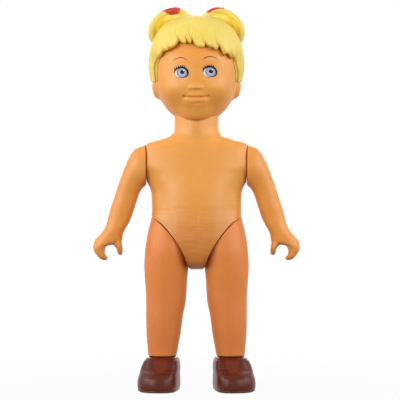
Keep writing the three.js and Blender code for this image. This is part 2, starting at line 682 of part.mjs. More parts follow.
function legForm(inset, bottom, top, levels, count) {
  const shape = profile(legRows);
  return loft(Array.from({ length: levels + 1 }, (_, i) => {
    const z = bottom + (top - bottom) * i / levels;
    const [inner, outer, front, back] = shape((z - SHOE_HEIGHT) / LEG_RISE);
    return levelRing((inner + outer) / 2, z, (outer - inner) / 2 - inset, front - inset, back - inset, 2.15, count);
  }));
}

function buildLeg() {
  const bottom = SHOE_HEIGHT + GAP;
  const top = HIP_Z + 0.28 * LEG_RISE;
  const outside = legForm(0, bottom, top, 12, 22).intersect(hipSide(-GAP / 2, 24));
  const inside = legForm(WALL, bottom + WALL, top, 4, 12).intersect(hipSide(-GAP / 2 - WALL, 12));
  const studHole = placeAlong(rod(STUD_RADIUS + 0.1, -HIP_DOME - 2, 2), hipAxis, hipPoint);
  const spigotHole = placeAlong(rod(SPIGOT_RADIUS + GAP, -2, WALL + 4), up, new THREE.Vector3(ANKLE_X, 0, bottom));
  return outside.subtract(inside).subtract(studHole).subtract(spigotHole);
}

function buildHipStud() {
  const ringFar = -HIP_DOME - GAP / 2 - WALL - GAP - RING_THICKNESS;
  const headLow = ringFar - GAP - STUD_HEAD;
  const inLeg = -HIP_DOME + GAP / 2 + WALL;
  const stud = revolve([
    [0, headLow], [STUD_HEAD_RADIUS - 0.6, headLow], [STUD_HEAD_RADIUS, headLow + 0.6],
    [STUD_HEAD_RADIUS, headLow + STUD_HEAD], [STUD_RADIUS - 0.2, headLow + STUD_HEAD],
    [STUD_RADIUS - 0.2, inLeg + GAP], [STUD_HEAD_RADIUS, inLeg + GAP],
    [STUD_HEAD_RADIUS, inLeg + GAP + STUD_HEAD], [0, inLeg + GAP + STUD_HEAD],
  ], ROUND_SIDES);
  return placeAlong(stud, hipAxis, hipPoint);
}

function buildHipRing() {
  const near = -HIP_DOME - GAP / 2 - WALL - GAP;
  return placeAlong(washer(STUD_RADIUS + GAP, RING_RADIUS, near - RING_THICKNESS, near), hipAxis, hipPoint);
}

function buildNeckStud() {
  const ringLow = NECK_TOP_Z - WALL - GAP - RING_THICKNESS;
  const footHigh = ringLow - GAP;
  const headLow = NECK_TOP_Z + GAP + WALL + GAP;
  return revolve([
    [0, footHigh - STUD_HEAD], [STUD_HEAD_RADIUS, footHigh - STUD_HEAD], [STUD_HEAD_RADIUS, footHigh],
    [STUD_RADIUS, footHigh], [STUD_RADIUS, headLow], [STUD_HEAD_RADIUS, headLow],
    [STUD_HEAD_RADIUS, headLow + STUD_HEAD], [STUD_RADIUS, headLow + 2 * STUD_HEAD], [0, headLow + 2 * STUD_HEAD],
  ], ROUND_SIDES);
}

function buildNeckRing() {
  const high = NECK_TOP_Z - WALL - GAP;
  return washer(STUD_RADIUS + GAP, RING_RADIUS, high - RING_THICKNESS, high);
}

// Shoe: height, half width, reach to the toe, reach to the heel, squareness
const shoeRows = [
  [0, 9.2, SHOE_FRONT - 0.7, SHOE_BACK - 0.7, 2.6],
  [1, SHOE_HALF + 0.1, SHOE_FRONT, SHOE_BACK, 2.6],
  [4, SHOE_HALF, SHOE_FRONT - 0.1, SHOE_BACK, 2.6],
  [6.5, SHOE_HALF - 0.1, SHOE_FRONT - 1.2, SHOE_BACK, 2.5],
  [8.4, SHOE_HALF - 0.2, SHOE_FRONT - 3.4, SHOE_BACK, 2.5],
  [9.6, SHOE_HALF - 0.2, SHOE_FRONT - 6.6, SHOE_BACK, 2.4],
  [10.4, SHOE_HALF - 0.2, SHOE_FRONT - 9.4, SHOE_BACK, 2.3],
  [12.4, SHOE_HALF - 0.3, SHOE_FRONT - 11.6, SHOE_BACK - 0.3, 2.2],
  [SHOE_HEIGHT - 2, SHOE_HALF - 0.3, SHOE_FRONT - 13.8, SHOE_BACK - 1.6, 2.1],
  [SHOE_HEIGHT - 0.7, SHOE_HALF - 0.9, SHOE_FRONT - 15.4, SHOE_BACK - 2.8, 2.1],
  [SHOE_HEIGHT, SHOE_HALF - 2, SHOE_FRONT - 17, SHOE_BACK - 4.2, 2.1],
];
const TOE_WIDENING = 0.16; // how much wider the toe is than the heel

function buildShoe() {
  const shape = profile(shoeRows);
  const levels = [0, 0.8, 3, 5, 6.8, 8.2, 9.2, 9.8, 10.4, 11.4, 13.4];
  levels.push(SHOE_HEIGHT - 2, SHOE_HEIGHT - 1, SHOE_HEIGHT);
  const rings = levels.map((z) => {
    const [half, front, back, power] = shape(z);
    return levelRing(0, z, half, front, back, power, 20).map((point) => {
      point.x *= 1 - TOE_WIDENING * point.y / SHOE_FRONT;
      return point.applyAxisAngle(up, TOE_OUT).add(new THREE.Vector3(ANKLE_X, 0, 0));
    });
  });
  const spigot = placeAlong(rod(SPIGOT_RADIUS, -4, SPIGOT_HEIGHT), up, new THREE.Vector3(ANKLE_X, 0, SHOE_HEIGHT));
  return loft(rings).add(spigot);
}

// The doll: torso with its rings and studs, then head, arms and legs
const figure = new THREE.Group();
const skin = finish(SKIN, 0.45);
const legSkin = finish(LEG_SKIN, 0.42);
const hairFinish = finish(HAIR_YELLOW, 0.5);
const tieFinish = finish(TIE_RED, 0.4);
const shoeFinish = finish(SHOE_BROWN, 0.2);
const innerFinish = finish(INNER_WHITE, 0.6);

const [torsoFront, torsoBack] = buildTorso();
figure.add(mesh('torso_front', torsoFront, skin));
figure.add(mesh('torso_back', torsoBack, skin));
figure.add(mesh('neck_stud', buildNeckStud(), innerFinish));
figure.add(mesh('neck_ring', buildNeckRing(), innerFinish));

const headGroup = new THREE.Group();
headGroup.add(mesh('head_shell', buildHead(), skin));
headGroup.add(mesh('hair', buildHair(), hairFinish));
figure.add(headGroup);

[['left', (solid) => solid], ['right', mirrored]].forEach(([side, place]) => {
  headGroup.add(mesh(`hair_tie_${side}`, place(buildTie()), tieFinish));
  figure.add(mesh(`arm_${side}`, place(buildArm()), skin));
  figure.add(mesh(`shoulder_ring_${side}`, place(buildShoulderRing()), innerFinish));
  figure.add(mesh(`leg_${side}`, place(buildLeg()), legSkin));
  figure.add(mesh(`shoe_${side}`, place(buildShoe()), shoeFinish));
  figure.add(mesh(`hip_stud_${side}`, place(buildHipStud()), innerFinish));
  figure.add(mesh(`hip_ring_${side}`, place(buildHipRing()), innerFinish));
});

export default figure;
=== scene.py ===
"""A plastic doll of a block toy family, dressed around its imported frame.

Sizes are in millimetres and become metres where a mesh is made. The floor is z = 0, the face looks
along -Y, and the doll's own left side is +X. Every visible part is a surface of two parameters.
"""
import logging
import math
from dataclasses import dataclass, field
from enum import Enum
from typing import Any, Callable, ClassVar

import bpy
import numpy as np
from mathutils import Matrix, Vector


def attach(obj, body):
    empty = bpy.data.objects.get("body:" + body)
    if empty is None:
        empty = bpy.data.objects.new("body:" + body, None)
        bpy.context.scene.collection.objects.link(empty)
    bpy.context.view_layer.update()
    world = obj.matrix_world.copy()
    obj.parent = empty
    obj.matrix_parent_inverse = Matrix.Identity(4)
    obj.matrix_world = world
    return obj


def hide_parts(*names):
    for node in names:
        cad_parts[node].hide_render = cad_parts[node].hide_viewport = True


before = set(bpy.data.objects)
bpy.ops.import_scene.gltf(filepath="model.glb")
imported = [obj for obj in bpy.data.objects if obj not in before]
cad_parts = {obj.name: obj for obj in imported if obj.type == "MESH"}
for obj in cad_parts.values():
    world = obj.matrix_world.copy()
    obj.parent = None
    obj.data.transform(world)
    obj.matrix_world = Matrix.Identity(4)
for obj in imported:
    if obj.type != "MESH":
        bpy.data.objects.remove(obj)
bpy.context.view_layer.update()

log = logging.getLogger("doll")

MM = 0.001  # metres in a millimetre
PROBE = 0.2  # step in height, in millimetres, over which a surface's slope is measured
TINY = 1e-6  # a length, in millimetres, that counts as nothing
HALVINGS = 40  # rounds of a search by halving
Grid = np.ndarray  # rows x columns x 3, in millimetres


class Side(Enum):
    """The doll's own left or right, as the sign of x."""

    LEFT = 1
    RIGHT = -1

    @property
    def label(self) -> str:
        """The word used in piece and node names."""
        return self.name.lower()


class Half(Enum):
    """Front or rear moulding of the body, as the sign of y."""

    FRONT = -1
    BACK = 1


class Wrap(Enum):
    """Whether a grid's last column meets its first."""

    OPEN = 0
    AROUND = 1


def bump(distance: np.ndarray, width: float) -> np.ndarray:
    """A bell of height one: e to the minus (distance / width) squared."""
    return np.exp(-((distance / width) ** 2))


def ramp(value: np.ndarray, low: float, high: float) -> np.ndarray:
    """A smooth step from 0 at low to 1 at high: 3t squared minus 2t cubed."""
    t = np.clip((value - low) / (high - low), 0, 1)
    return t * t * (3 - 2 * t)


def signed_power(value: np.ndarray, power: float) -> np.ndarray:
    """The value's size to a power, with its sign kept."""
    return np.sign(value) * np.abs(value) ** power


def soft_min(value: np.ndarray, limit: float, blend: float) -> np.ndarray:
    """The smaller of value and limit, rounded where they meet.

    Args:
        value: Values to hold back.
        limit: The most that is let through.
        blend: How far apart the two may be and still be rounded.

    Returns:
        min(value, limit) minus h squared times a quarter of blend, h falling from 1 where they meet.
    """
    near = np.clip(blend - np.abs(value - limit), 0, None) / blend
    return np.minimum(value, limit) - near**2 * blend / 4


class Profile:
    """A smooth curve through a few rows that never overshoots them.

    Each piece is a cubic whose end slopes are the harmonic means of the neighbouring straight slopes.
    """

    def __init__(self, rows: list[tuple[float, ...]]) -> None:
        """Works out the slopes of [position, value, value, ...] rows."""
        table = np.asarray(rows, float)
        self.at, self.values = table[:, 0], table[:, 1:]
        secant = np.diff(self.values, axis=0) / np.diff(self.at)[:, None]
        product, total = secant[:-1] * secant[1:], secant[:-1] + secant[1:]
        mean = np.where(product > 0, 2 * product / np.where(total == 0, 1, total), 0)
        self.slopes = np.concatenate([secant[:1], mean, secant[-1:]])

    def __call__(self, position: np.ndarray) -> np.ndarray:
        """Reads the curve.

        Args:
            position: Places along it, of any shape.

        Returns:
            One more axis than position, with the curve's values.
        """
        p = np.clip(position, self.at[0], self.at[-1])
        i = np.clip(np.searchsorted(self.at, p, side="right") - 1, 0, len(self.at) - 2)
        span = (self.at[i + 1] - self.at[i])[..., None]
        u = (p - self.at[i])[..., None] / span
        start, end = (1 + 2 * u) * (1 - u) ** 2, u * u * (3 - 2 * u)
        leave, arrive = u * (1 - u) ** 2 * span, u * u * (u - 1) * span
        first = start * self.values[i] + leave * self.slopes[i]
        return first + end * self.values[i + 1] + arrive * self.slopes[i + 1]


def path_through(points: np.ndarray, count: int) -> np.ndarray:
    """A smooth path through points, evenly spaced.

    Args:
        points: Points x dimensions, in order.
        count: How many points to return.

    Returns:
        Points on cubic pieces whose slope at each point is half the step between its neighbours.
    """
    points = np.asarray(points, float)
    slope = np.gradient(points, axis=0)
    t = np.linspace(0, len(points) - 1, 40 * len(points))
    i = np.minimum(t.astype(int), len(points) - 2)
    u = (t - i)[:, None]
    dense = ((1 + 2 * u) * (1 - u) ** 2 * points[i] + u * (1 - u) ** 2 * slope[i]
             + u * u * (3 - 2 * u) * points[i + 1] + u * u * (u - 1) * slope[i + 1])
    length = np.concatenate([[0], np.cumsum(np.linalg.norm(np.diff(dense, axis=0), axis=1))])
    even = np.linspace(0, length[-1], count)
    return np.stack([np.interp(even, length, dense[:, k]) for k in range(points.shape[1])], 1)


def across_path(path: np.ndarray) -> np.ndarray:
    """Unit vectors across a path's first two dimensions: its direction after a quarter turn."""
    along = np.gradient(path[:, :2], axis=0)
    along /= np.linalg.norm(along, axis=1, keepdims=True)
    return np.stack([-along[:, 1], along[:, 0]], 1)


def rounded(before: np.ndarray, corner: np.ndarray, after: np.ndarray, steps: int) -> Grid:
    """Rows that round an edge.

    Args:
        before: Where the rounding leaves the first surface, one point per column.
        corner: The sharp edge itself.
        after: Where it joins the second surface.
        steps: Rows between the two.

    Returns:
        Rows on the quadratic curve (1-u)^2 before + 2u(1-u) corner + u^2 after, its ends left out.
    """
    u = (np.arange(1, steps + 1) / (steps + 1))[:, None, None]
    return (1 - u) ** 2 * before + 2 * u * (1 - u) * corner + u**2 * after


def bisect(low: np.ndarray, high: np.ndarray, over: Callable[[np.ndarray], np.ndarray]) -> np.ndarray:
    """Where a test changes, by halving.

    Args:
        low: Values for which over is positive.
        high: Values for which over is negative.
        over: The test.

    Returns:
        The value between them where over is nought.
    """
    for _ in range(HALVINGS):
        middle = (low + high) / 2
        positive = over(middle) > 0
        low, high = np.where(positive, middle, low), np.where(positive, high, middle)
    return (low + high) / 2


class Shaper:
    """Turns grids into Blender objects."""

    @staticmethod
    def faces(rows: int, columns: int, wrap: Wrap, first: int) -> np.ndarray:
        """Corner numbers of the quads between a grid's neighbours.

        Args:
            rows: Rows of the grid.
            columns: Columns of the grid.
            wrap: Whether the last column meets the first.
            first: Number of the grid's first vertex.

        Returns:
            Quads x 4.
        """
        index = first + np.arange(rows * columns).reshape(rows, columns)
        right = np.roll(index, -1, axis=1)
        if wrap is Wrap.OPEN:
            index, right = index[:, :-1], right[:, :-1]
        quads = np.stack([index[:-1], right[:-1], right[1:], index[1:]], -1)
        return quads.reshape(-1, 4)

    @classmethod
    def build(cls, name: str, grids: list[Grid], wrap: Wrap = Wrap.AROUND,
              close: tuple[bool, bool] = (True, True),
              masks: dict[str, np.ndarray] | None = None) -> bpy.types.Object:
        """Makes one smooth object from grids, its faces pointing outwards.

        Args:
            name: The piece's name.
            grids: One or more grids of the same kind.
            wrap: Whether their columns run all round.
            close: Whether the first and last row end in a fan to their middle.
            masks: Named values for each vertex of the first grid, read by its material.

        Returns:
            The new object, at the origin.
        """
        vertices: list[np.ndarray] = []
        faces: list[list[int]] = []
        count = 0
        for grid in grids:
            rows, columns, _ = grid.shape
            body = cls.faces(rows, columns, wrap, count).tolist()
            points = [grid.reshape(-1, 3)]
            for end, wanted in enumerate(close):
                if not wanted:
                    continue
                tip = np.full(columns, count + rows * columns + len(points) - 1)
                ring = count + (0 if end == 0 else (rows - 1) * columns) + np.arange(columns)
                after = np.roll(ring, -1)
                fan = np.stack([after, ring, tip] if end == 0 else [ring, after, tip], 1)
                body += fan.tolist()
                points.append(grid[0 if end == 0 else -1].mean(0)[None])
            block = np.concatenate(points)
            vertices.append(block)
            faces += cls.outward(block, body, count)
            count += len(block)
        mesh = bpy.data.meshes.new(name)
        mesh.from_pydata((np.concatenate(vertices) * MM).tolist(), [], faces)
        mesh.polygons.foreach_set("use_smooth", np.ones(len(mesh.polygons), bool))
        for label, values in (masks or {}).items():
            layer = mesh.attributes.new(label, "FLOAT", "POINT")
            flat = np.zeros(len(mesh.vertices))
            flat[: values.size] = values.reshape(-1)
            layer.data.foreach_set("value", flat)
        mesh.update()
        piece = bpy.data.objects.new(name, mesh)
        bpy.context.scene.collection.objects.link(piece)
        return piece

    @staticmethod
    def outward(points: np.ndarray, faces: list[list[int]], first: int) -> list[list[int]]:
        """Turns a block's faces over where most of them look at its middle.

        Args:
            points: The block's vertices.
            faces: Their faces, numbered from first.
            first: Number of the block's first vertex.

        Returns:
            The faces, pointing outwards.
        """
        corners = points[np.array([face[:3] for face in faces]) - first]
        normal = np.cross(corners[:, 1] - corners[:, 0], corners[:, 2] - corners[:, 0])
        facing = (normal * (corners.mean(1) - points.mean(0))).sum()
        return faces if facing > 0 else [face[::-1] for face in faces]

    @staticmethod
    def apply(piece: bpy.types.Object) -> None:
        """Applies the piece's modifiers to its mesh."""
        graph = bpy.context.evaluated_depsgraph_get()
        mesh = bpy.data.meshes.new_from_object(piece.evaluated_get(graph), depsgraph=graph)
        old = piece.data
        piece.modifiers.clear()
        piece.data = mesh
        bpy.data.meshes.remove(old)

    @classmethod
    def fuse(cls, piece: bpy.types.Object, voxel: float, rounds: int) -> None:
        """Melts overlapping forms of a piece into one skin with soft inner corners.

        Args:
            piece: The piece.
            voxel: Size of the cells, in millimetres.
            rounds: Rounds of smoothing.
        """
        remesh = piece.modifiers.new("fuse", "REMESH")
        remesh.mode = "VOXEL"
        remesh.voxel_size = voxel * MM
        remesh.use_smooth_shade = True
        smooth = piece.modifiers.new("soften", "SMOOTH")
        smooth.factor = 0.5
        smooth.iterations = rounds
        cls.apply(piece)


def mirrored(grid: Grid, side: Side) -> Grid:
    """The grid itself for the doll's left, and its mirror image for the right."""
    return grid * np.array([side.value, 1, 1])


def place(piece: bpy.types.Object, body: str, finish: bpy.types.Material, slot: str, *nodes: str) -> None:
    """Gives a piece its body, its finish and the nodes that it stands for.

    Args:
        piece: The piece.
        body: Body that it rides on.
        finish: Its material.
        slot: Name of a material slot; not used.
        nodes: Solids that it replaces.
    """
    piece.data.materials.append(finish)
    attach(piece, body)
    if nodes:
        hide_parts(*nodes)
    log.info("%s rides on %s: %d faces", piece.name, body, len(piece.data.polygons))


# Finishes


def colour(red: int, green: int, blue: int) -> tuple[float, float, float, float]:
    """A colour of 0 to 255 as it looks, turned into light values: ((c + 0.055) / 1.055) ^ 2.4."""
    channels = [c / 255 for c in (red, green, blue)]
    light = [c / 12.92 if c <= 0.04045 else ((c + 0.055) / 1.055) ** 2.4 for c in channels]
    return (*light, 1.0)


class Graph:
    """A node tree with a short way to add nodes and to link them."""

    def __init__(self, tree: bpy.types.NodeTree) -> None:
        """Starts from an empty tree."""
        tree.nodes.clear()
        self.tree = tree

    def add(self, kind: str, settings: dict[str, Any] | None = None, **inputs: Any) -> bpy.types.Node:
        """Adds one node.

        Args:
            kind: The node's class name after ShaderNode.
            settings: Properties of the node itself.
            inputs: Values or sockets for its inputs; an underscore stands for a space, and in_3 is input 3.

        Returns:
            The new node.
        """
        node = self.tree.nodes.new("ShaderNode" + kind)
        for name, value in (settings or {}).items():
            setattr(node, name, value)
        for name, value in inputs.items():
            key: Any = int(name[3:]) if name.startswith("in_") else name.replace("_", " ")
            if isinstance(value, bpy.types.NodeSocket):
                self.tree.links.new(value, node.inputs[key])
            else:
                node.inputs[key].default_value = value
        return node

    def math(self, operation: str, first: Any, second: Any = 0.0) -> bpy.types.NodeSocket:
        """One sum: the result of a Math node."""
        return self.add("Math", {"operation": operation}, in_0=first, in_1=second).outputs[0]

    def blend(self, factor: Any, first: Any, second: Any) -> bpy.types.NodeSocket:
        """Two colours mixed by a factor."""
        settings = {"data_type": "RGBA", "blend_type": "MIX"}
        return self.add("Mix", settings, in_0=factor, in_6=first, in_7=second).outputs[2]

    def spread(self, value: Any, low: float, high: float, to_low: float,
               to_high: float) -> bpy.types.NodeSocket:
        """A value's range from low to high spread over another range, and held there."""
        held = self.add("MapRange", {}, in_0=value, in_1=low, in_2=high, in_3=to_low, in_4=to_high)
        return held.outputs[0]

    def noise(self, vector: bpy.types.NodeSocket, scale: float, detail: float) -> bpy.types.NodeSocket:
        """Soft noise, scale in cycles per metre."""
        return self.add("TexNoise", {}, Vector=vector, Scale=scale, Detail=detail, Roughness=0.55).outputs[0]

    def seen_rays(self) -> bpy.types.NodeSocket:
        """One for the rays of the camera, of reflections and of clear things, nought for those that light."""
        rays = self.add("LightPath").outputs
        passed_on = self.math("MAXIMUM", rays["Is Glossy Ray"], rays["Is Transmission Ray"])
        return self.math("MAXIMUM", rays["Is Camera Ray"], passed_on)


def shader_group(name: str, inputs: dict[str, Any], outputs: dict[str, str],
                 fill: Callable[[Graph, Any, Any], None]) -> bpy.types.NodeTree:
    """Builds a shared node group.

    Args:
        name: The group's name.
        inputs: Names with their starting values; a tuple makes a colour.
        outputs: Names with NodeSocketColor or NodeSocketFloat.
        fill: Adds the nodes, given the graph, the input node's outputs and the output node's inputs.

    Returns:
        The group.
    """
    tree = bpy.data.node_groups.new(name, "ShaderNodeTree")
    for label, value in inputs.items():
        kind = "NodeSocketColor" if isinstance(value, tuple) else "NodeSocketFloat"
        tree.interface.new_socket(label, in_out="INPUT", socket_type=kind).default_value = value
    for label, kind in outputs.items():
        tree.interface.new_socket(label, in_out="OUTPUT", socket_type=kind)
    graph = Graph(tree)
    entry = tree.nodes.new("NodeGroupInput")
    leave = tree.nodes.new("NodeGroupOutput")
    fill(graph, entry.outputs, leave.inputs)
    return tree


def moulded_colour() -> bpy.types.NodeTree:
    """Group: the cloudy tint of moulded plastic, its uneven sheen and its fine skin."""

    def fill(graph: Graph, given: Any, out: Any) -> None:
        """Clouds mix in the deep tint; smears move the roughness; a fine grain gives the height."""
        point = graph.add("TexCoord").outputs["Object"]
        clouds = graph.noise(point, 75, 3)
        share = graph.math("MULTIPLY", graph.spread(clouds, 0.35, 0.68, 0.0, 1.0), given["Mottle"])
        smears = graph.noise(point, 260, 4)
        sheen = graph.math("MULTIPLY", graph.math("SUBTRACT", smears, 0.5), given["Smears"])
        grain = graph.noise(point, 1700, 2)
        links = graph.tree.links
        links.new(graph.blend(share, given["Tint"], given["Deep"]), out["Colour"])
        links.new(graph.math("ADD", given["Sheen"], sheen), out["Roughness"])
        links.new(graph.math("MULTIPLY", grain, given["Grain"]), out["Height"])

    white = (1.0, 1.0, 1.0, 1.0)
    return shader_group(
        "moulded plastic",
        {"Tint": white, "Deep": white, "Mottle": 0.3, "Sheen": 0.4, "Smears": 0.2, "Grain": 1.0},
        {"Colour": "NodeSocketColor", "Roughness": "NodeSocketFloat", "Height": "NodeSocketFloat"},
        fill,
    )


def play_wear() -> bpy.types.NodeTree:
    """Group: the faint rubs and hairline scuffs of a toy that has been played with."""

    def fill(graph: Graph, given: Any, out: Any) -> None:
        """Long thin noise, cut off high so that only a few streaks are left."""
        point = graph.add("TexCoord").outputs["Object"]
        turned = graph.add("Mapping", {}, Vector=point, Rotation=(0.5, 0.3, 0.9), Scale=(1.0, 7.0, 1.6))
        streaks = graph.spread(graph.noise(turned.outputs[0], 190, 5), 0.62, 0.74, 0.0, 1.0)
        rubs = graph.spread(graph.noise(point, 120, 4), 0.6, 0.72, 0.0, 0.5)
        both = graph.math("MAXIMUM", streaks, rubs)
        graph.tree.links.new(graph.math("MULTIPLY", both, given["Amount"]), out["Mask"])

    return shader_group("play wear", {"Amount": 0.2}, {"Mask": "NodeSocketFloat"}, fill)


@dataclass(frozen=True)
class PlasticFinish:
    """A moulded plastic: its tints, sheen, softness to light and relief."""

    name: str
    tint: tuple[int, int, int]
    deep: tuple[int, int, int]
    sheen: float = 0.42
    mottle: float = 0.3
    smears: float = 0.16
    grain: float = 0.6
    relief: float = 0.05
    wear: float = 0.12
    wear_white: float = 0.35  # share of white in a rubbed place
    coat: float = 0.0
    coat_sheen: float = 0.08
    glow: float = 0.0
    glow_reach: tuple[float, float, float] = (1.0, 0.4, 0.16)
    glow_depth: float = 2.2  # in millimetres
    specular: float = 0.5
    strands: float = 0.0
    mask: str = ""
    mask_tint: tuple[int, int, int] = (0, 0, 0)
    mask_sheen: float = 0.0  # added to the roughness where the mask is full
    # tint of the painted shade that an extra share mixes in
    painted_shade_tint: tuple[int, int, int] = (0, 0, 0)

    def make(self, groups: "Groups", extra: Callable[[Graph, Any], Any] | None = None) -> bpy.types.Material:
        """Builds the material.

        Args:
            groups: The shared node groups.
            extra: A height and a share of the painted shade's tint, given the graph and the object's point.

        Returns:
            The material.
        """
        material = bpy.data.materials.new(self.name)
        material.use_nodes = True
        graph = Graph(material.node_tree)
        body = graph.add(
            "Group", {"node_tree": groups.plastic}, Tint=colour(*self.tint), Deep=colour(*self.deep),
            Mottle=self.mottle, Sheen=self.sheen, Smears=self.smears, Grain=self.grain,
        )
        worn = graph.add("Group", {"node_tree": groups.wear}, Amount=self.wear).outputs["Mask"]
        shade = body.outputs["Colour"]
        if self.strands:
            point = graph.add("TexCoord").outputs["Object"]
            drawn = graph.add("Mapping", {}, Vector=point, Scale=(1.0, 1.0, 0.13)).outputs[0]
            streak = graph.spread(graph.noise(drawn, 900, 3), 0.45, 0.7, 0.0, self.strands)
            shade = graph.blend(streak, shade, colour(*self.deep))
        rough = graph.math("ADD", body.outputs["Roughness"], worn)
        # a mask mixes in its tint: grime and painted shade on seams, painted shade on the hair, the matt
        # tongue's own colour on the shoes
        if self.mask:
            share = graph.add("Attribute", {"attribute_name": self.mask}).outputs["Fac"]
            shade = graph.blend(share, shade, colour(*self.mask_tint))
            rough = graph.math("ADD", rough, graph.math("MULTIPLY", share, self.mask_sheen))
        height = body.outputs["Height"]
        if extra:
            # the extra height is relief; its share mixes in painted shade
            raised, panel = extra(graph, graph.add("TexCoord").outputs["Object"])
            height = graph.math("ADD", height, raised)
            shade = graph.blend(panel, shade, colour(*self.painted_shade_tint))
        pale = graph.blend(self.wear_white, shade, (1.0, 1.0, 1.0, 1.0))
        shade = graph.blend(worn, shade, pale)
        relief = graph.add("Bump", {}, Strength=1.0, Distance=self.relief * MM, Height=height)
        shader = graph.add(
            "BsdfPrincipled", {}, Base_Color=shade, Roughness=rough, Normal=relief.outputs[0],
            Coat_Weight=self.coat, Coat_Roughness=self.coat_sheen, Subsurface_Weight=self.glow,
            Subsurface_Radius=self.glow_reach, Subsurface_Scale=self.glow_depth * MM,
            Specular_IOR_Level=self.specular,
        )
        graph.add("OutputMaterial", {}, Surface=shader.outputs[0])
        return material


@dataclass(frozen=True)
class InkFinish:
    """A printed ink with a faint grain, shaded towards its edge by the vertex value "edge"."""

    name: str
    tint: tuple[int, int, int]
    edge: tuple[int, int, int]
    sheen: float = 0.45
    streaks: float = 0.0
    streak_count: float = 46.0
    specks: float = 0.05
    specular: float = 0.12

    def make(self) -> bpy.types.Material:
        """Builds the material."""
        material = bpy.data.materials.new(self.name)
        material.use_nodes = True
        graph = Graph(material.node_tree)
        point = graph.add("TexCoord").outputs["Object"]
        share = graph.add("Attribute", {"attribute_name": "edge"}).outputs["Fac"]
        around = graph.add("Attribute", {"attribute_name": "around"}).outputs["Fac"]
        wave = graph.math("SINE", graph.math("MULTIPLY", around, self.streak_count))
        rays = graph.math("MULTIPLY", wave, self.streaks)
        share = graph.math("ADD", share, rays)
        speck = graph.noise(point, 5200, 2)
        shade = graph.blend(share, colour(*self.tint), colour(*self.edge))
        shade = graph.blend(graph.spread(speck, 0.55, 0.75, 0.0, self.specks), shade, (1.0, 1.0, 1.0, 1.0))
        rough = graph.spread(speck, 0.3, 0.7, self.sheen - 0.05, self.sheen + 0.08)
        shader = graph.add(
            "BsdfPrincipled", {}, Base_Color=shade, Roughness=rough, Specular_IOR_Level=self.specular,
        )
        graph.add("OutputMaterial", {}, Surface=shader.outputs[0])
        return material


# The doll's finishes, some with painted shade and painted bounce light
SKIN_LOOK: dict[str, Any] = {"glow": 0.12, "specular": 0.4}
FACE = PlasticFinish("tan plastic", (236, 160, 72), (229, 148, 60), sheen=0.38, **SKIN_LOOK)
# the seam mask paints grime and shade into the gap between torso and legs
BODY = PlasticFinish(
    "tan body plastic", (232, 158, 73), (225, 146, 61), sheen=0.38, mask="seam", mask_tint=(112, 48, 10),
    # painted shade: darker from the waist line down to the crotch
    painted_shade_tint=(198, 116, 48), **SKIN_LOOK,
)
ARMS = PlasticFinish("arm plastic", (228, 150, 66), (220, 138, 54), sheen=0.44, **SKIN_LOOK)
# the seam mask paints grime and shade onto the leg's rim and dome at the hip
LEGS = PlasticFinish(
    "leg plastic", (223, 133, 60), (214, 121, 50), sheen=0.47, mask="seam", mask_tint=(112, 44, 10),
    # painted shade: darker from the knee down to the shoe
    painted_shade_tint=(190, 100, 44), **SKIN_LOOK,
)
# the depth mask paints shade into the hair's grooves, towards its lower edge and under it
HAIR_LOOK: dict[str, Any] = {"sheen": 0.48, "specular": 0.4, "strands": 0.5, "mask": "depth"}
HAIR = PlasticFinish("hair plastic", (236, 211, 106), (232, 198, 76), mask_tint=(222, 160, 30), **HAIR_LOOK)
# a brighter copy of the hair plastic: painted bounce light in the loops' hollows; its mask is painted shade
# deepening their middle
HAIR_WITH_PAINTED_BOUNCE = PlasticFinish(
    "hair plastic in the hollows", (244, 219, 98), (240, 206, 70), mask_tint=(240, 208, 36), **HAIR_LOOK,
)
SHOES = PlasticFinish(
    "glossy brown plastic", (86, 27, 6), (76, 23, 5), sheen=0.33, smears=0.02, grain=0.1, relief=0.01,
    wear=0.02, specular=0.25, mask="tongue", mask_tint=(99, 35, 9), mask_sheen=0.4,
)
TIES = PlasticFinish("red band plastic", (198, 58, 46), (172, 44, 36), sheen=0.3, coat=0.2)
INNER = PlasticFinish("inner white plastic", (236, 232, 222), (216, 210, 196), sheen=0.5)
WASHERS = PlasticFinish("washer rubber", (58, 57, 56), (40, 39, 38), sheen=0.7, grain=1.0)
INKS = {
    "white": InkFinish("eye white ink", (246, 244, 244), (226, 226, 234)),
    "rim": InkFinish("eye rim ink", (70, 62, 78), (44, 36, 48)),
    "iris": InkFinish("iris ink", (210, 212, 232), (142, 152, 182), streaks=0.08),
    "pupil": InkFinish("pupil ink", (12, 3, 9), (26, 8, 20), specks=0.0),
    "lash": InkFinish("lash ink", (14, 6, 8), (14, 6, 8), specks=0.0),
    "brow": InkFinish("brow ink", (146, 70, 54), (146, 70, 54)),
}


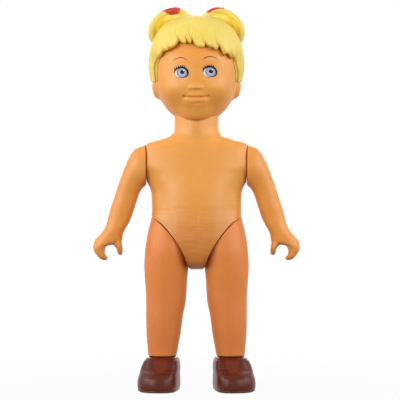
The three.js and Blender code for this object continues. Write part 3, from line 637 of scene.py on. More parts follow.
def hip_relief_and_painted_shade(graph: Graph, point: Any) -> tuple[Any, Any]:
    """The faint cloth-like relief that is moulded into the hips, and painted shade that darkens them towards
    the crotch.

    Args:
        graph: The material's graph.
        point: Object coordinates.

    Returns:
        Height: short level creases crossed by a few upright ones, faded in below the waist line.
        Tone: a share that grows from the waist line to the crotch, less on the creases.
    """
    level = graph.add("Mapping", {}, Vector=point, Scale=(0.2, 0.2, 1.0)).outputs[0]
    upright = graph.add("Mapping", {}, Vector=point, Scale=(1.0, 1.0, 0.22)).outputs[0]
    creases = graph.spread(graph.noise(level, 640, 3), 0.5, 0.68, 0.0, 1.0)
    pleats = graph.spread(graph.noise(upright, 520, 3), 0.6, 0.74, 0.0, 0.8)
    height = graph.add("SeparateXYZ", {}, Vector=point).outputs["Z"]
    below = graph.spread(height, 0.102, 0.099, 0.0, 1.0)
    above = graph.spread(height, 0.066, 0.074, 0.35, 1.0)
    both, inside = graph.math("MAXIMUM", creases, pleats), graph.math("MULTIPLY", below, above)
    raised = graph.math("MULTIPLY", both, inside)
    # painted shade: darker from the waist line down to the crotch, lighter on the raised creases
    shade_towards_crotch = graph.spread(height, 0.1009, 0.0795, 0.18, 0.8)
    start = graph.spread(height, 0.1016, 0.1002, 0.0, 1.0)
    painted_shade = graph.math("MULTIPLY", start, graph.math("SUBTRACT", shade_towards_crotch, graph.math("MULTIPLY", raised, 0.22)))
    return raised, painted_shade


def shin_painted_shade(graph: Graph, point: Any) -> tuple[Any, Any]:
    """No relief, and painted shade that darkens the leg a little from the knee down to the shoe.

    Args:
        graph: The material's graph.
        point: Object coordinates.

    Returns:
        Height and share.
    """
    height = graph.add("SeparateXYZ", {}, Vector=point).outputs["Z"]
    # painted shade, stronger lower down
    return 0.0, graph.spread(height, 0.066, 0.028, 0.0, 0.4)


@dataclass
class Groups:
    """The node groups that several finishes share."""

    plastic: bpy.types.NodeTree = field(default_factory=moulded_colour)
    wear: bpy.types.NodeTree = field(default_factory=play_wear)


# Body


@dataclass(frozen=True)
class HipJoint:
    """The slanted turning joint of a leg: a dome on the leg in a cup in the torso."""

    half: float = 13.9  # centre plane to the pivot
    height: float = 79.2
    tilt: float = math.radians(54.8)
    radius: float = 18.2
    dome: float = 4.4
    power: float = 2.8
    gap: float = 0.2  # from the dividing surface to either piece
    seam_grime_and_shade_fade: tuple[float, float] = (1.0, 3.2)  # where the seam's grime and painted shade fade, in from the rim

    def skin(self, reach: np.ndarray, side_sign: int) -> np.ndarray:
        """Height of a piece's skin along the joint's axis.

        Args:
            reach: Distance from the axis.
            side_sign: 1 for the torso's cup, -1 for the leg's dome.

        Returns:
            Minus dome times (1 - (reach / radius)^power)^(1 / power), minus the signed gap.
        """
        level = np.clip(1 - (reach / self.radius) ** self.power, 0, 1) ** (1 / self.power)
        return -self.dome * level - side_sign * self.gap

    def local(self, point: Grid) -> tuple[np.ndarray, np.ndarray]:
        """A point's height along the axis and its place along the seam's slant."""
        x, z = point[..., 0] - self.half, point[..., 2] - self.height
        sine, cosine = math.sin(self.tilt), math.cos(self.tilt)
        return x * sine - z * cosine, x * cosine + z * sine

    def point(self, height: np.ndarray, slant: np.ndarray, y: np.ndarray) -> Grid:
        """The point at a height along the axis, a place along the slant and a depth y."""
        sine, cosine = math.sin(self.tilt), math.cos(self.tilt)
        x = self.half + height * sine + slant * cosine
        z = self.height - height * cosine + slant * sine
        return np.stack([x, y, z], -1)

    def seam_grime_and_shade_left(self, distance: np.ndarray) -> np.ndarray:
        """Share of the seam's grime and painted shade that is left so far in from the rim."""
        return 1 - ramp(distance, *self.seam_grime_and_shade_fade)

    def over(self, point: Grid, side_sign: int) -> np.ndarray:
        """How far a point lies past a piece's skin towards the leg."""
        height, slant = self.local(point)
        return height - self.skin(np.hypot(slant, point[..., 1]), side_sign)


@dataclass
class Torso:
    """The body: two moulded half shells with a neck, flat shoulder joints and hip cups."""

    hip: HipJoint
    crotch: float = 65.7
    shoulder: float = 122.7
    shoulder_radius: float = 11.2
    shoulder_face: float = 27.15
    shoulder_edge: float = 0.55
    neck_radius: float = 12.0
    neck_top: float = 150.4
    neck_bore: float = 3.9
    waist: float = 97.0
    parting: float = 0.06
    edge: float = 0.3
    wall: float = 1.4
    seam_grime_and_shade_end: tuple[float, float] = (12.5, 16)  # along the slant, where the seam's grime and painted shade run out
    rows: int = 120  # from the neck's top to the waist
    hip_rows: int = 50  # from the waist to the hip's cut
    cup_rows: int = 22  # from the cut in under the hip
    samples: int = 1500  # heights at which the outline's length is measured
    shape: Profile = field(init=False)

    def __post_init__(self) -> None:
        """Sets the level sections: height, half width, reach to front and back, squareness."""
        top = self.shoulder + self.shoulder_radius
        neck = self.neck_radius
        self.shape = Profile([
            (self.crotch, 27, 6, 7, 2.3),
            (self.crotch + 1.5, 27.8, 9.8, 10.8, 2.4),
            (self.crotch + 5, 28.4, 13.4, 14.4, 2.4),
            (77.5, 27.9, 15.4, 16.4, 2.5),
            (84.2, 26.8, 16, 16.2, 2.5),
            (90.5, 25.1, 16, 14.6, 2.5),
            (98.2, 24.3, 15.6, 13.2, 2.35),
            (107, 24.6, 15.5, 12.8, 2.3),
            (110.8, 25.8, 15.2, 12.9, 2.3),
            (113.4, 27.2, 14.9, 13.1, 2.3),
            (117, 29.5, 14.4, 13.3, 2.3),
            (self.shoulder, self.shoulder_face + 6.35, 13.8, 13.5, 2.3),
            (131.1, 31, 13, 12.8, 2.3),
            (top + 0.6, 26.9, 12.4, 12.4, 2.2),
            (top + 2.5, 21.3, 12, 12, 2.1),
            (top + 4.7, 15, neck - 0.1, neck - 0.1, 2),
            (top + 7, neck + 0.4, neck, neck, 2),
            (top + 9, neck, neck, neck, 2),
            (self.neck_top, neck, neck, neck, 2),
        ])

    def level(self, angle: np.ndarray, z: np.ndarray, half: Half) -> Grid:
        """Points on the body's outside.

        Args:
            angle: 0 at the doll's left, a half turn at its right.
            z: Height.
            half: Front or rear.

        Returns:
            x = half width times cos^(2/p), y = reach times sin^(2/p), with x held at the shoulder faces.
        """
        width, front, back, power = np.moveaxis(self.shape(z), -1, 0)
        x = width * signed_power(np.cos(angle), 2 / power)
        depth = front if half is Half.FRONT else back
        y = half.value * depth * np.abs(np.sin(angle)) ** (2 / power)
        x = np.sign(x) * soft_min(np.abs(x), self.shoulder_face, self.shoulder_edge)
        return np.stack([x, y, z + 0 * x], -1)

    def angles(self, z: np.ndarray, corner: float) -> np.ndarray:
        """Column angles that follow the shoulder faces' rims and the corner between hip and crotch.

        Args:
            z: Heights, rows x 1.
            corner: Angle where the hip cut meets the crotch.

        Returns:
            Rows x columns, from 0 to a half turn.
        """
        width, _, _, power = np.moveaxis(self.shape(z), -1, 0)
        rim = np.arccos(np.clip(self.shoulder_face / width, 0, 1) ** (power / 2))
        rim = np.maximum(rim, math.radians(3))
        flat = 1 - (1 - np.linspace(0, 1, 9)[:-1]) ** 2
        side = np.linspace(0, 1, 75)[:-1] ** 1.3
        strip = np.linspace(0, 1, 7)
        crotch = corner + (math.pi / 2 - corner) * strip + 0 * rim
        quarter = np.concatenate([rim * flat, rim + (corner - rim) * side, crotch], 1)
        return np.concatenate([quarter, math.pi - quarter[:, -2::-1]], 1)

    def heights(self) -> np.ndarray:
        """Row heights from the neck's top to the waist, evenly spaced along the outline."""
        z = np.linspace(self.neck_top, self.waist, self.samples)
        past_face = self.shoulder_face + 3
        width = np.minimum(self.shape(z)[:, 0], past_face)
        length = np.concatenate([[0], np.cumsum(np.hypot(np.diff(width), np.diff(z)))])
        return np.interp(np.linspace(0, length[-1], self.rows), length, z)

    def half_shell(self, half: Half) -> tuple[Grid, dict[str, np.ndarray]]:
        """One moulded half as rows from the neck bore down the outside and in under the hips.

        Args:
            half: Front or rear.

        Returns:
            The grid, and how much of the seam's grime and painted shade each vertex takes.
        """
        hip = self.hip

        def past(angle: np.ndarray, z: np.ndarray) -> np.ndarray:
            """How far a point of the outside lies past the torso's cup."""
            point = self.level(angle, z, half)
            point[..., 0] = np.abs(point[..., 0])
            return hip.over(point, 1)

        low = np.array([math.radians(60)])
        corner = float(bisect(low, low * 0 + math.pi / 2, lambda a: past(a, a * 0 + self.crotch))[0])
        upper = self.heights()[:, None]
        outside = self.level(self.angles(upper, corner), upper, half)
        neck = self.level(self.angles(upper[:1], corner), upper[:1], half)
        inner = self.neck_bore / self.neck_radius
        shares = np.linspace(inner, 0.98, 5)[:, None, None]
        collar = neck * np.array([1, 1, 0]) * shares + neck * np.array([0, 0, 1])

        angle = self.angles(upper[-1:], corner)[0]
        waist = angle * 0 + self.waist
        cut = bisect(angle * 0 + self.crotch, waist, lambda z: past(angle, z))
        rim = self.level(angle, cut, half)
        above = self.level(angle, cut + PROBE, half)
        rate = PROBE / np.linalg.norm(above - rim, axis=-1)
        start = cut + self.edge * rate
        share = np.linspace(0, 1, self.hip_rows)[1:, None]
        lower = self.level(angle, waist + (start - waist) * share, half)

        mirror = np.sign(rim[:, :1])
        local = rim * np.concatenate([mirror, mirror * 0 + 1, mirror * 0 + 1], 1)
        _, slant = hip.local(local)
        end_y = half.value * self.parting
        run = np.abs(rim[:, 1] - end_y)
        first = np.minimum(self.edge / np.maximum(run, TINY), 0.4)
        share = first + (1 - first) * np.linspace(0, 1, self.cup_rows)[:, None] ** 1.2
        y = rim[:, 1] + (end_y - rim[:, 1]) * share
        inward = hip.point(hip.skin(np.hypot(slant, y), 1), slant + 0 * y, y)
        middle = cut <= self.crotch + TINY
        right = int(np.argmax(middle)) - 1
        edge_x = inward[:, right, 0]
        fraction = np.abs(rim[middle, 0]) / np.abs(rim[right, 0])
        inward[:, middle, 0] = edge_x[:, None] * fraction
        inward[:, middle, 2] = inward[:, right, 2][:, None]
        inward[..., 0] *= np.where(mirror[:, 0] == 0, 1, mirror[:, 0])
        lip = rounded(lower[-1], rim, inward[0], 4)
        grid = np.concatenate([collar, outside, lower, lip, inward])
        # seam: grime and painted shade on the lip and in the cup, fading in from the rim
        seam = np.zeros(grid.shape[:2])
        seam[-len(lip) - len(inward) :, ~middle] = 1 - ramp(slant[~middle], *self.seam_grime_and_shade_end)
        seam[-len(inward) :] *= hip.seam_grime_and_shade_left(run * share)
        return grid, {"seam": seam}

    def dress(self, finish: bpy.types.Material) -> None:
        """Builds both halves and gives them a wall."""
        halves = ((Half.FRONT, "chest_shell", "torso_front"), (Half.BACK, "back_shell", "torso_back"))
        for half, name, node in halves:
            grid, masks = self.half_shell(half)
            piece = Shaper.build(name, [grid], Wrap.OPEN, (False, False), masks)
            wall = piece.modifiers.new("wall", "SOLIDIFY")
            wall.thickness = self.wall * MM
            wall.offset = -1
            place(piece, "torso", finish, "skin", node)


@dataclass
class Leg:
    """A straight hollow leg, cut at the hip by its dome and closed above the shoe."""

    hip: HipJoint
    collar: float  # height of the shoe's upper edge
    gap: float = 0.3  # between leg and shoe
    rise: float = 60.8
    squareness: float = 2.15
    edge: float = 0.3
    columns: int = 160
    rows: int = 130  # from the ankle to the hip's cut
    dome_rows: int = 26
    cut_between: tuple[float, float] = (30, 105)  # heights between which the cut lies
    seam_grime_and_shade_end: tuple[float, float] = (6, 12)  # along the slant, where the seam's grime and painted shade thin out
    seam_grime_and_shade_loss: float = 0.7  # how much of it is gone there
    shape: Profile = field(init=False)

    def __post_init__(self) -> None:
        """Sets the level sections: height, inner and outer side, reach to front and back."""
        shares = [
            (0, 10.9, 26.2, 8.2, 8.4), (0.1, 9.8, 26.8, 8.7, 8.9), (0.22, 8.5, 27.3, 9.5, 9.7),
            (0.36, 7.4, 27.5, 10.2, 10.2), (0.5, 5.8, 27.5, 10.9, 10.8), (0.68, 5.1, 28.1, 12.4, 12.6),
            (0.8, 4.4, 28.5, 13.6, 14), (0.95, 3.6, 28, 14.6, 15.8), (1.1, 3.4, 26.6, 14.1, 15.8),
            (1.24, 3.4, 24.5, 13.2, 15), (1.3, 3.4, 23.6, 12.8, 14.4),
        ]
        self.shape = Profile([(self.collar + self.rise * row[0], *row[1:]) for row in shares])

    def level(self, angle: np.ndarray, z: np.ndarray) -> Grid:
        """Points on the leg's outside: a rounded outline between inner and outer side."""
        inner, outer, front, back = np.moveaxis(self.shape(z), -1, 0)
        power = 2 / self.squareness
        x = (inner + outer) / 2 + (outer - inner) / 2 * signed_power(np.cos(angle), power)
        along = signed_power(np.sin(angle), power)
        return np.stack([x, along * np.where(along < 0, front, back), z + 0 * x], -1)

    def skin(self) -> tuple[Grid, dict[str, np.ndarray]]:
        """Rows from under the ankle up the outside and in over the dome, and how much grime and painted shade
        the seam takes.
        """
        hip = self.hip
        angle = np.linspace(0, 2 * math.pi, self.columns, endpoint=False)
        lowest, highest = (angle * 0 + height for height in self.cut_between)
        cut = bisect(lowest, highest, lambda z: hip.over(self.level(angle, z), -1))
        rim = self.level(angle, cut)
        below = self.level(angle, cut - PROBE)
        rate = PROBE / np.linalg.norm(below - rim, axis=-1)
        bottom = self.collar + self.gap
        low = bottom + self.edge
        share = np.linspace(0, 1, self.rows)[:, None]
        outside = self.level(angle, low + (cut - self.edge * rate - low) * share)
        _, slant = hip.local(rim)
        reach = np.hypot(slant, rim[:, 1])
        share = 1 - self.edge / reach
        share = share * np.linspace(1, 0.02, self.dome_rows)[:, None]
        dome = hip.point(hip.skin(reach * share, -1), slant * share, rim[:, 1] * share)
        ankle = self.level(angle, angle * 0 + bottom)
        middle = ankle.mean(0)
        under = middle + (ankle - middle) * np.linspace(0.1, 0.95, 5)[:, None, None]
        foot = rounded(under[-1], ankle, outside[0], 3)
        top = rounded(outside[-1], rim, dome[0], 4)
        grid = np.concatenate([under, foot, outside, top, dome])
        # seam: grime and painted shade on the rounded top and the dome, fading in from the rim
        seam = np.zeros(grid.shape[:2])
        seam[-len(top) - len(dome) :] = 1 - self.seam_grime_and_shade_loss * ramp(slant, *self.seam_grime_and_shade_end)
        seam[-len(dome) :] *= hip.seam_grime_and_shade_left(reach * (1 - share))
        return grid, {"seam": seam}

    def dress(self, finish: bpy.types.Material) -> None:
        """Builds both legs."""
        skin, masks = self.skin()
        for side in Side:
            piece = Shaper.build(f"leg_skin_{side.label}", [mirrored(skin, side)], masks=masks)
            place(piece, f"leg_{side.label}", finish, "leg_skin", f"leg_{side.label}")


@dataclass
class Arm:
    """A one-piece arm from the flat shoulder face to the open C-shaped hand."""

    torso: Torso
    gap: float = 0.3  # between the flat faces of torso and arm
    squareness: float = 2.3
    grip_radius: float = 3.4
    grip_out: float = 19.25
    grip_drop: float = 47.1
    columns: int = 56
    steps: int = 7
    voxel: float = 0.33
    soften: int = 22

    def grip(self, degrees: float, beyond: float) -> tuple[float, float]:
        """A point beside the grip, at an angle from sideways and so far beyond its round."""
        angle, reach = math.radians(degrees), self.grip_radius + beyond
        return self.grip_out + reach * math.cos(angle), -self.grip_drop + reach * math.sin(angle)

    def limb_ribs(self) -> list[tuple]:
        """Cross sections of arm and fingers: inner point, outer point, half depth."""
        r = self.torso.shoulder_radius
        return [
            ((0, -r), (0, r), 10.8), ((0.5, -11.6), (5.7, 8.8), 10.5), ((1.2, -12.1), (10.4, 1.7), 9.6),
            ((2.2, -13.2), (13.5, -6.2), 8.3), ((3.7, -15.8), (15.6, -12), 7.4),
            ((5.2, -20.2), (17.8, -19), 6.8), ((6.7, -24.8), (19.6, -24.4), 6.5),
            ((8.3, -29.4), (20.8, -29), 6.2), ((10, -32.8), (21.8, -33), 6.2),
            ((11.4, -35.2), (23.8, -36.4), 6.2), ((12.6, -38), (26, -39), 6.1),
            ((13.3, -41.4), (28, -41.2), 5.9), (self.grip(100, 0), self.grip(24, 6.9), 5.7),
            (self.grip(60, 0), self.grip(6.5, 6.3), 5.4), (self.grip(20, 0), self.grip(-3, 5.6), 5),
            (self.grip(-12, 0), self.grip(-18, 4.6), 4.6), (self.grip(-42, 0), self.grip(-35, 3.9), 4),
            (self.grip(-62, 0.4), self.grip(-50, 3.1), 2.6),
        ]

    def thumb_ribs(self) -> list[tuple]:
        """Cross sections of the thumb, from inside the palm to its tip."""
        return [
            ((14.2, -35.5), (21, -37), 3.6), ((13.4, -41.4), (19.2, -42.2), 4.6),
            ((13.1, -44.1), self.grip(120, 0), 4.6), ((12.8, -46.2), self.grip(165, 0), 4.0),
            ((12.8, -47.8), self.grip(190, 0), 3.1), ((13.1, -48.9), self.grip(203, 0.9), 1.8),
        ]

    def along(self, ribs: list[tuple], tip: float) -> Grid:
        """A limb through ribs, with a rounded tip.

        Args:
            ribs: Inner point, outer point and half depth of each cross section.
            tip: How far the tip swells past the last rib.

        Returns:
            Each ring is inner + (outer - inner)(1 - cos^(2/s)) / 2, with y = depth times sin^(2/s), s being
            the squareness.
        """
        rows = [(i, *inner, *outer, depth) for i, (inner, outer, depth) in enumerate(ribs)]
        at = np.linspace(0, len(ribs) - 1, self.steps * (len(ribs) - 1) + 1)
        values = Profile(rows)(at)
        inner, outer, depth = values[:, 0:2], values[:, 2:4], values[:, 4]
        middle = (inner + outer) / 2
        ahead = middle[-1] - middle[-3]
        ahead /= np.linalg.norm(ahead)
        turn = np.linspace(0, math.pi / 2, 8)[1:-1]
        tip_middle = middle[-1] + tip * np.sin(turn)[:, None] * ahead
        half = (outer[-1] - inner[-1]) / 2 * np.cos(turn)[:, None]
        inner = np.concatenate([inner, tip_middle - half])
        outer = np.concatenate([outer, tip_middle + half])
        depth = np.concatenate([depth, depth[-1] * np.cos(turn)])
        angle = np.linspace(0, 2 * math.pi, self.columns, endpoint=False)
        across = (1 - signed_power(np.cos(angle), 2 / self.squareness)) / 2
        flat = inner[:, None] + (outer - inner)[:, None] * across[:, None]
        y = depth[:, None] * signed_power(np.sin(angle), 2 / self.squareness)
        face = self.torso.shoulder_face + self.gap
        return np.stack([face + flat[..., 0], y, self.torso.shoulder + flat[..., 1]], -1)

    def dress(self, finish: bpy.types.Material) -> None:
        """Builds both arms, each melted into one skin."""
        forms = [self.along(self.limb_ribs(), 1.0), self.along(self.thumb_ribs(), 0.6)]
        for side in Side:
            piece = Shaper.build(f"arm_skin_{side.label}", [mirrored(form, side) for form in forms])
            Shaper.fuse(piece, self.voxel, self.soften)
            place(piece, f"arm_{side.label}", finish, "skin", f"arm_{side.label}")


@dataclass
class Shoe:
    """A glossy slip-on shoe with a rounded toe box, a tongue panel and a rolled collar."""

    height: float = 18.4
    ankle: float = 18.3
    toe_out: float = math.radians(5)
    columns: int = 220
    sole: float = 1.3
    tongue_foot: float = 10.2  # height where the tongue starts
    tongue_half: float = 2.4  # half width there
    tongue_flare: float = 0.2  # how much half width it gains with each millimetre of height
    shape: Profile = field(init=False)

    def __post_init__(self) -> None:
        """Sets, for each height, the distances of toe, inner side, outer side and heel, and the softness."""
        self.shape = Profile([
            (0, 23.4, 8.4, 12.2, 11.6, 5),
            (0.7, 24.4, 9.2, 13.1, 12.3, 5),
            (4, 24.8, 9.5, 13.4, 12.4, 5),
            (7.4, 24.4, 9.4, 12.9, 12.4, 5),
            (9.2, 22.9, 9.3, 12.3, 12.4, 5),
            (10.2, 20.4, 9.2, 12.0, 12.1, 6),
            (11.0, 17.4, 9.2, 11.8, 11.7, 8),
            (12.0, 15.0, 9.2, 11.5, 11.4, 10),
            (13.7, 13.3, 9.1, 11.0, 11.1, 11),
            (16, 11.5, 8.7, 9.9, 10.4, 11),
            (17.2, 10.2, 8.3, 9.1, 9.7, 9),
            (17.9, 9.0, 7.9, 8.4, 8.8, 7),
            (18.4, 7.9, 7.3, 7.5, 8.0, 6),
        ])

    def level(self, angle: np.ndarray, z: np.ndarray) -> Grid:
        """Points round the shoe: a polygon of planes whose corners are softened.

        Args:
            angle: 0 towards the outside of the foot, a quarter turn back towards the toe.
            z: Height.

        Returns:
            Reach = (sum of (cos(angle - plane) / distance)^softness)^(-1 / softness). A corner's plane
            lies at a share of the sides' distances times cosine and sine of its angle.
        """
        toe, inner, outer, heel, soft = np.moveaxis(self.shape(z), -1, 0)
        planes = [(-90, toe), (0, outer), (180, inner), (90, heel)]
        for degrees, across, ahead, share in ((-48, outer, toe, 0.84), (-132, inner, toe, 0.88),
                                              (52, outer, heel, 0.78), (128, inner, heel, 0.8)):
            turn = math.radians(degrees)
            planes.append((degrees, share * (across * abs(math.cos(turn)) + ahead * abs(math.sin(turn)))))
        total = 0.0
        for degrees, distance in planes:
            facing = np.clip(np.cos(angle - math.radians(degrees)), 0, 1)
            total = total + (facing / distance) ** soft
        reach = total ** (-1 / soft)
        x, y = reach * np.cos(angle), reach * np.sin(angle)
        return np.stack([x, y, z + 0 * x], -1)

    def tongue_side(self, z: np.ndarray) -> np.ndarray:
        """Half width of the tongue, which widens from the toe box up to the collar."""
        return self.tongue_half + self.tongue_flare * (z - self.tongue_foot)

    def tongue(self, point: Grid) -> np.ndarray:
        """How much a point belongs to the matt tongue: ramps across its sides, its foot and its top."""
        x, y, z = np.moveaxis(point, -1, 0)
        half = self.tongue_side(z)
        within = 1 - ramp(np.abs(x), half - 0.25, half + 0.25)
        below = 1 - ramp(z, 16.7, 17.1)
        return within * ramp(z, 10.3, 10.9) * below * ramp(-y, 2, 6)

    def relief(self, point: Grid) -> np.ndarray:
        """Depth of the seams beside the tongue, of the sole's upper edge and of the collar's groove."""
        x, y, z = np.moveaxis(point, -1, 0)
        vamp = ramp(z, 10.3, 11.2) * (1 - ramp(z, 16.4, 17.2)) * ramp(-y, 2, 6)
        beside = bump(np.abs(x) - (self.tongue_side(z) + 0.2), 0.35) * vamp
        sole = bump(z - self.sole, 0.28)
        collar = bump(z - 17.0, 0.35)
        return 0.1 * beside + 0.15 * sole + 0.2 * collar

    def skin(self) -> tuple[Grid, dict[str, np.ndarray]]:
        """Rows from under the sole up to the collar, and where the tongue is."""
        angle = np.linspace(0, 2 * math.pi, self.columns, endpoint=False)
        low, side, top = np.linspace(0, 2.4, 26), np.linspace(2.4, 9, 26), np.linspace(9, self.height, 76)
        z = np.concatenate([low, side[1:], top[1:]])
        rings = self.level(angle[None], z[:, None])
        matt = self.tongue(rings)
        flat = np.array([1, 1, 0])
        outward = rings * flat
        outward /= np.linalg.norm(outward, axis=-1, keepdims=True)
        rings = rings - outward * self.relief(rings)[..., None]
        under = rings[0] * flat * np.linspace(0.2, 0.97, 4)[:, None, None]
        over = rings[-1] * flat * np.linspace(0.94, 0.2, 5)[:, None, None] + [0, 0, self.height]
        grid = np.concatenate([under, rings, over])
        mask = np.zeros(grid.shape[:2])
        mask[len(under) : len(under) + len(rings)] = matt
        sine, cosine = math.sin(self.toe_out), math.cos(self.toe_out)
        x, y = grid[..., 0].copy(), grid[..., 1].copy()
        grid[..., 0], grid[..., 1] = x * cosine - y * sine + self.ankle, x * sine + y * cosine
        return grid, {"tongue": mask}

    def dress(self, finish: bpy.types.Material) -> None:
        """Builds both shoes."""
        skin, masks = self.skin()
        for side in Side:
            piece = Shaper.build(f"slip_on_{side.label}", [mirrored(skin, side)], masks=masks)
            place(piece, f"leg_{side.label}", finish, "shoe", f"shoe_{side.label}")


# Head


@dataclass
class Head:
    """The hollow head: an egg of four quarters, raised and sunk by face and ears."""

    centre: float = 174.0
    half: float = 22.6
    front: float = 21.3
    back: float = 22.0
    top: float = 27.0
    bottom: float = 28.3
    squareness: float = 2.2
    collar: float = 12.35  # radius of the neck opening
    lip: float = 0.35  # height of the rounding at the neck opening
    floor: float = 150.75
    bore: float = 3.9
    eye_half: float = 7.65
    eye_drop: float = 2.1
    nose_drop: float = 9.9
    mouth_drop: float = 15.3
    mouth_half: float = 5.9
    ear_drop: float = 9.4
    face_shift: float = -0.35  # the face sits a little to the doll's right
    columns: int = 340
    rows: int = 250  # from the crown to the neck opening
    crowding: float = 0.55  # how much the columns crowd towards the face
    crown: float = 0.012  # share of the way down where the first row lies
    lip_turn: float = 0.012  # angle before the neck opening where its rounding starts
    settling: int = 14  # rounds of the search for a point on the face

    def egg(self, direction: Grid) -> np.ndarray:
        """Reach of the plain egg in a direction, from |x/a|^p + |y/b|^p + |z/c|^p = 1."""
        x, y, z = np.moveaxis(direction, -1, 0)
        depth = np.where(y < 0, self.front, self.back)
        rise = np.where(z > 0, self.top, self.bottom)
        power = self.squareness
        total = np.abs(x / self.half) ** power + np.abs(y / depth) ** power + np.abs(z / rise) ** power
        return total ** (-1 / power)

    def face(self, x: np.ndarray, y: np.ndarray, z: np.ndarray) -> np.ndarray:
        """Height of face and ears over the egg: bells for what swells, negative bells for what sinks.

        Args:
            x: Sideways from the centre plane.
            y: Depth, negative in front.
            z: Height from the head's centre.

        Returns:
            The height along the reach.
        """
        x = x - self.face_shift * ramp(-y, 4, 14)
        a = np.abs(x)
        nose_z = z + self.nose_drop
        nose = 1.2 * bump(x, 2.1) * np.where(nose_z > 0, bump(nose_z, 1.6), bump(nose_z, 1.05))
        wings = 0.4 * bump(a - 2.7, 1.1) * bump(nose_z + 0.4, 1.0)
        muzzle = 0.9 * bump(x, 8.0) * bump(z + self.mouth_drop, 5.5)
        line = z + self.mouth_drop - 0.15 * (x / self.mouth_half) ** 2
        mouth = -0.6 * bump(line, 0.42) * ramp(self.mouth_half + 0.8 - a, 0, 1.6)
        corner = -1.15 * bump(a - self.mouth_half - 0.2, 0.85) * bump(line, 0.85)
        upper_lip = 0.4 * bump(a - 1.7, 2.6) * bump(line - 1.5, 1.0)
        lower_lip = 0.3 * bump(x, 4.6) * bump(line + 1.2, 0.8)
        under_lip = -0.35 * bump(x - 1.0, 2.2) * bump(line + 2.5, 0.7)
        chin = 1.1 * np.exp(-((x / 6.9) ** 4) - ((z + 20.8) / 4.3) ** 4)
        jaw = 2.7 * bump(x, 8.5) * ramp(-z, 19, 25) * ramp(-y, 5, 11)
        cheeks = 1.2 * bump(a - 12.4, 5.6) * bump(z + 11.8, 5.0)
        sockets = -0.7 * bump(a - self.eye_half, 4.8) * bump(z + self.eye_drop, 4.2)
        brow = 0.3 * bump(a - self.eye_half, 5.2) * bump(z - 5.2, 2.2)
        front = ramp(-y, 4, 13)
        relief = (nose + wings + muzzle + mouth + corner + upper_lip + lower_lip + under_lip
                  + chin + cheeks + sockets + brow)
        return front * relief + jaw + self.ears(a, y, z)

    def ears(self, a: np.ndarray, y: np.ndarray, z: np.ndarray) -> np.ndarray:
        """Height of the ears: a flat-topped bell with a bowl sunk into it."""
        u, v = (y - 2.5) / 3.6, (z + self.ear_drop) / 5.1
        spread = u**2 + v**2
        shell = 3.7 * np.exp(-(spread**1.6))
        bowl = -1.7 * bump((y - 1.9) / 1.9, 1) * bump((z + self.ear_drop - 0.6) / 3.2, 1)
        return ramp(a, 15, 19.5) * (shell + bowl)

    def reach(self, direction: Grid) -> np.ndarray:
        """Reach of the finished head in a direction."""
        plain = self.egg(direction)
        x, y, z = np.moveaxis(direction * plain[..., None], -1, 0)
        return plain + self.face(x, y, z)

    @staticmethod
    def direction(azimuth: np.ndarray, polar: np.ndarray) -> Grid:
        """Unit direction from azimuth, 0 in front and towards the doll's left, and angle from the crown."""
        sine = np.sin(polar)
        return np.stack([sine * np.sin(azimuth), -sine * np.cos(azimuth), np.cos(polar) + 0 * azimuth], -1)

    def on_face(self, x: np.ndarray, z: np.ndarray, lift: np.ndarray) -> Grid:
        """Points on the front of the head.

        Args:
            x: Sideways place.
            z: Height from the head's centre.
            lift: Height over the skin.

        Returns:
            The points, found by setting y to minus the root of reach squared less x and z squared.
        """
        y = -np.full_like(x + z, self.front)
        for _ in range(self.settling):
            point = np.stack([x + 0 * y, y, z + 0 * y], -1)
            size = np.linalg.norm(point, axis=-1)
            reach = self.reach(point / size[..., None]) + lift
            y = -np.sqrt(np.clip(reach**2 - x**2 - z**2, 1, None))
        return np.stack([x + 0 * y, y, z + self.centre + 0 * y], -1)

    def skin(self) -> Grid:
        """Rows from the crown over the face to the neck opening, up its wall and in to the bore."""
        even = np.linspace(-math.pi, math.pi, self.columns, endpoint=False)
        azimuth = even - self.crowding * np.sin(even)

        def past_collar(polar: np.ndarray) -> np.ndarray:
            """How far the skin at a polar angle lies outside the neck opening."""
            return self.reach(self.direction(azimuth, polar)) * np.sin(polar) - self.collar

        edge = bisect(azimuth * 0 + 2.2, azimuth * 0 + 3.0, past_collar)
        spacing = Profile([(0, self.crown), (0.16, 0.42), (0.93, 0.97), (1, 1)])
        polar = spacing(np.linspace(0, 1, self.rows)) * (edge - self.lip_turn)
        direction = self.direction(azimuth[None], polar)
        outside = direction * self.reach(direction)[..., None]
        rim = self.direction(azimuth, edge)
        rim = rim * self.reach(rim)[..., None]
        wall = rim * np.array([1, 1, 0])
        height = np.linspace(0, 1, 5)[:, None, None]
        floor = self.floor - self.centre
        start = rim[..., 2:] + self.lip
        up = wall + np.array([0, 0, 1]) * (start + (floor - start) * height)
        inner = np.linspace(0.96, self.bore / self.collar, 4)[:, None, None]
        under = wall * inner + np.array([0, 0, floor])
        lip = rounded(outside[-1], rim, up[0], 3)
        return np.concatenate([outside, lip, up, under]) + np.array([0, 0, self.centre])

    def dress(self, finish: bpy.types.Material) -> None:
        """Builds the head."""
        piece = Shaper.build("head_skin", [self.skin()], Wrap.AROUND, (True, False))
        place(piece, "head", finish, "skin", "head_shell")


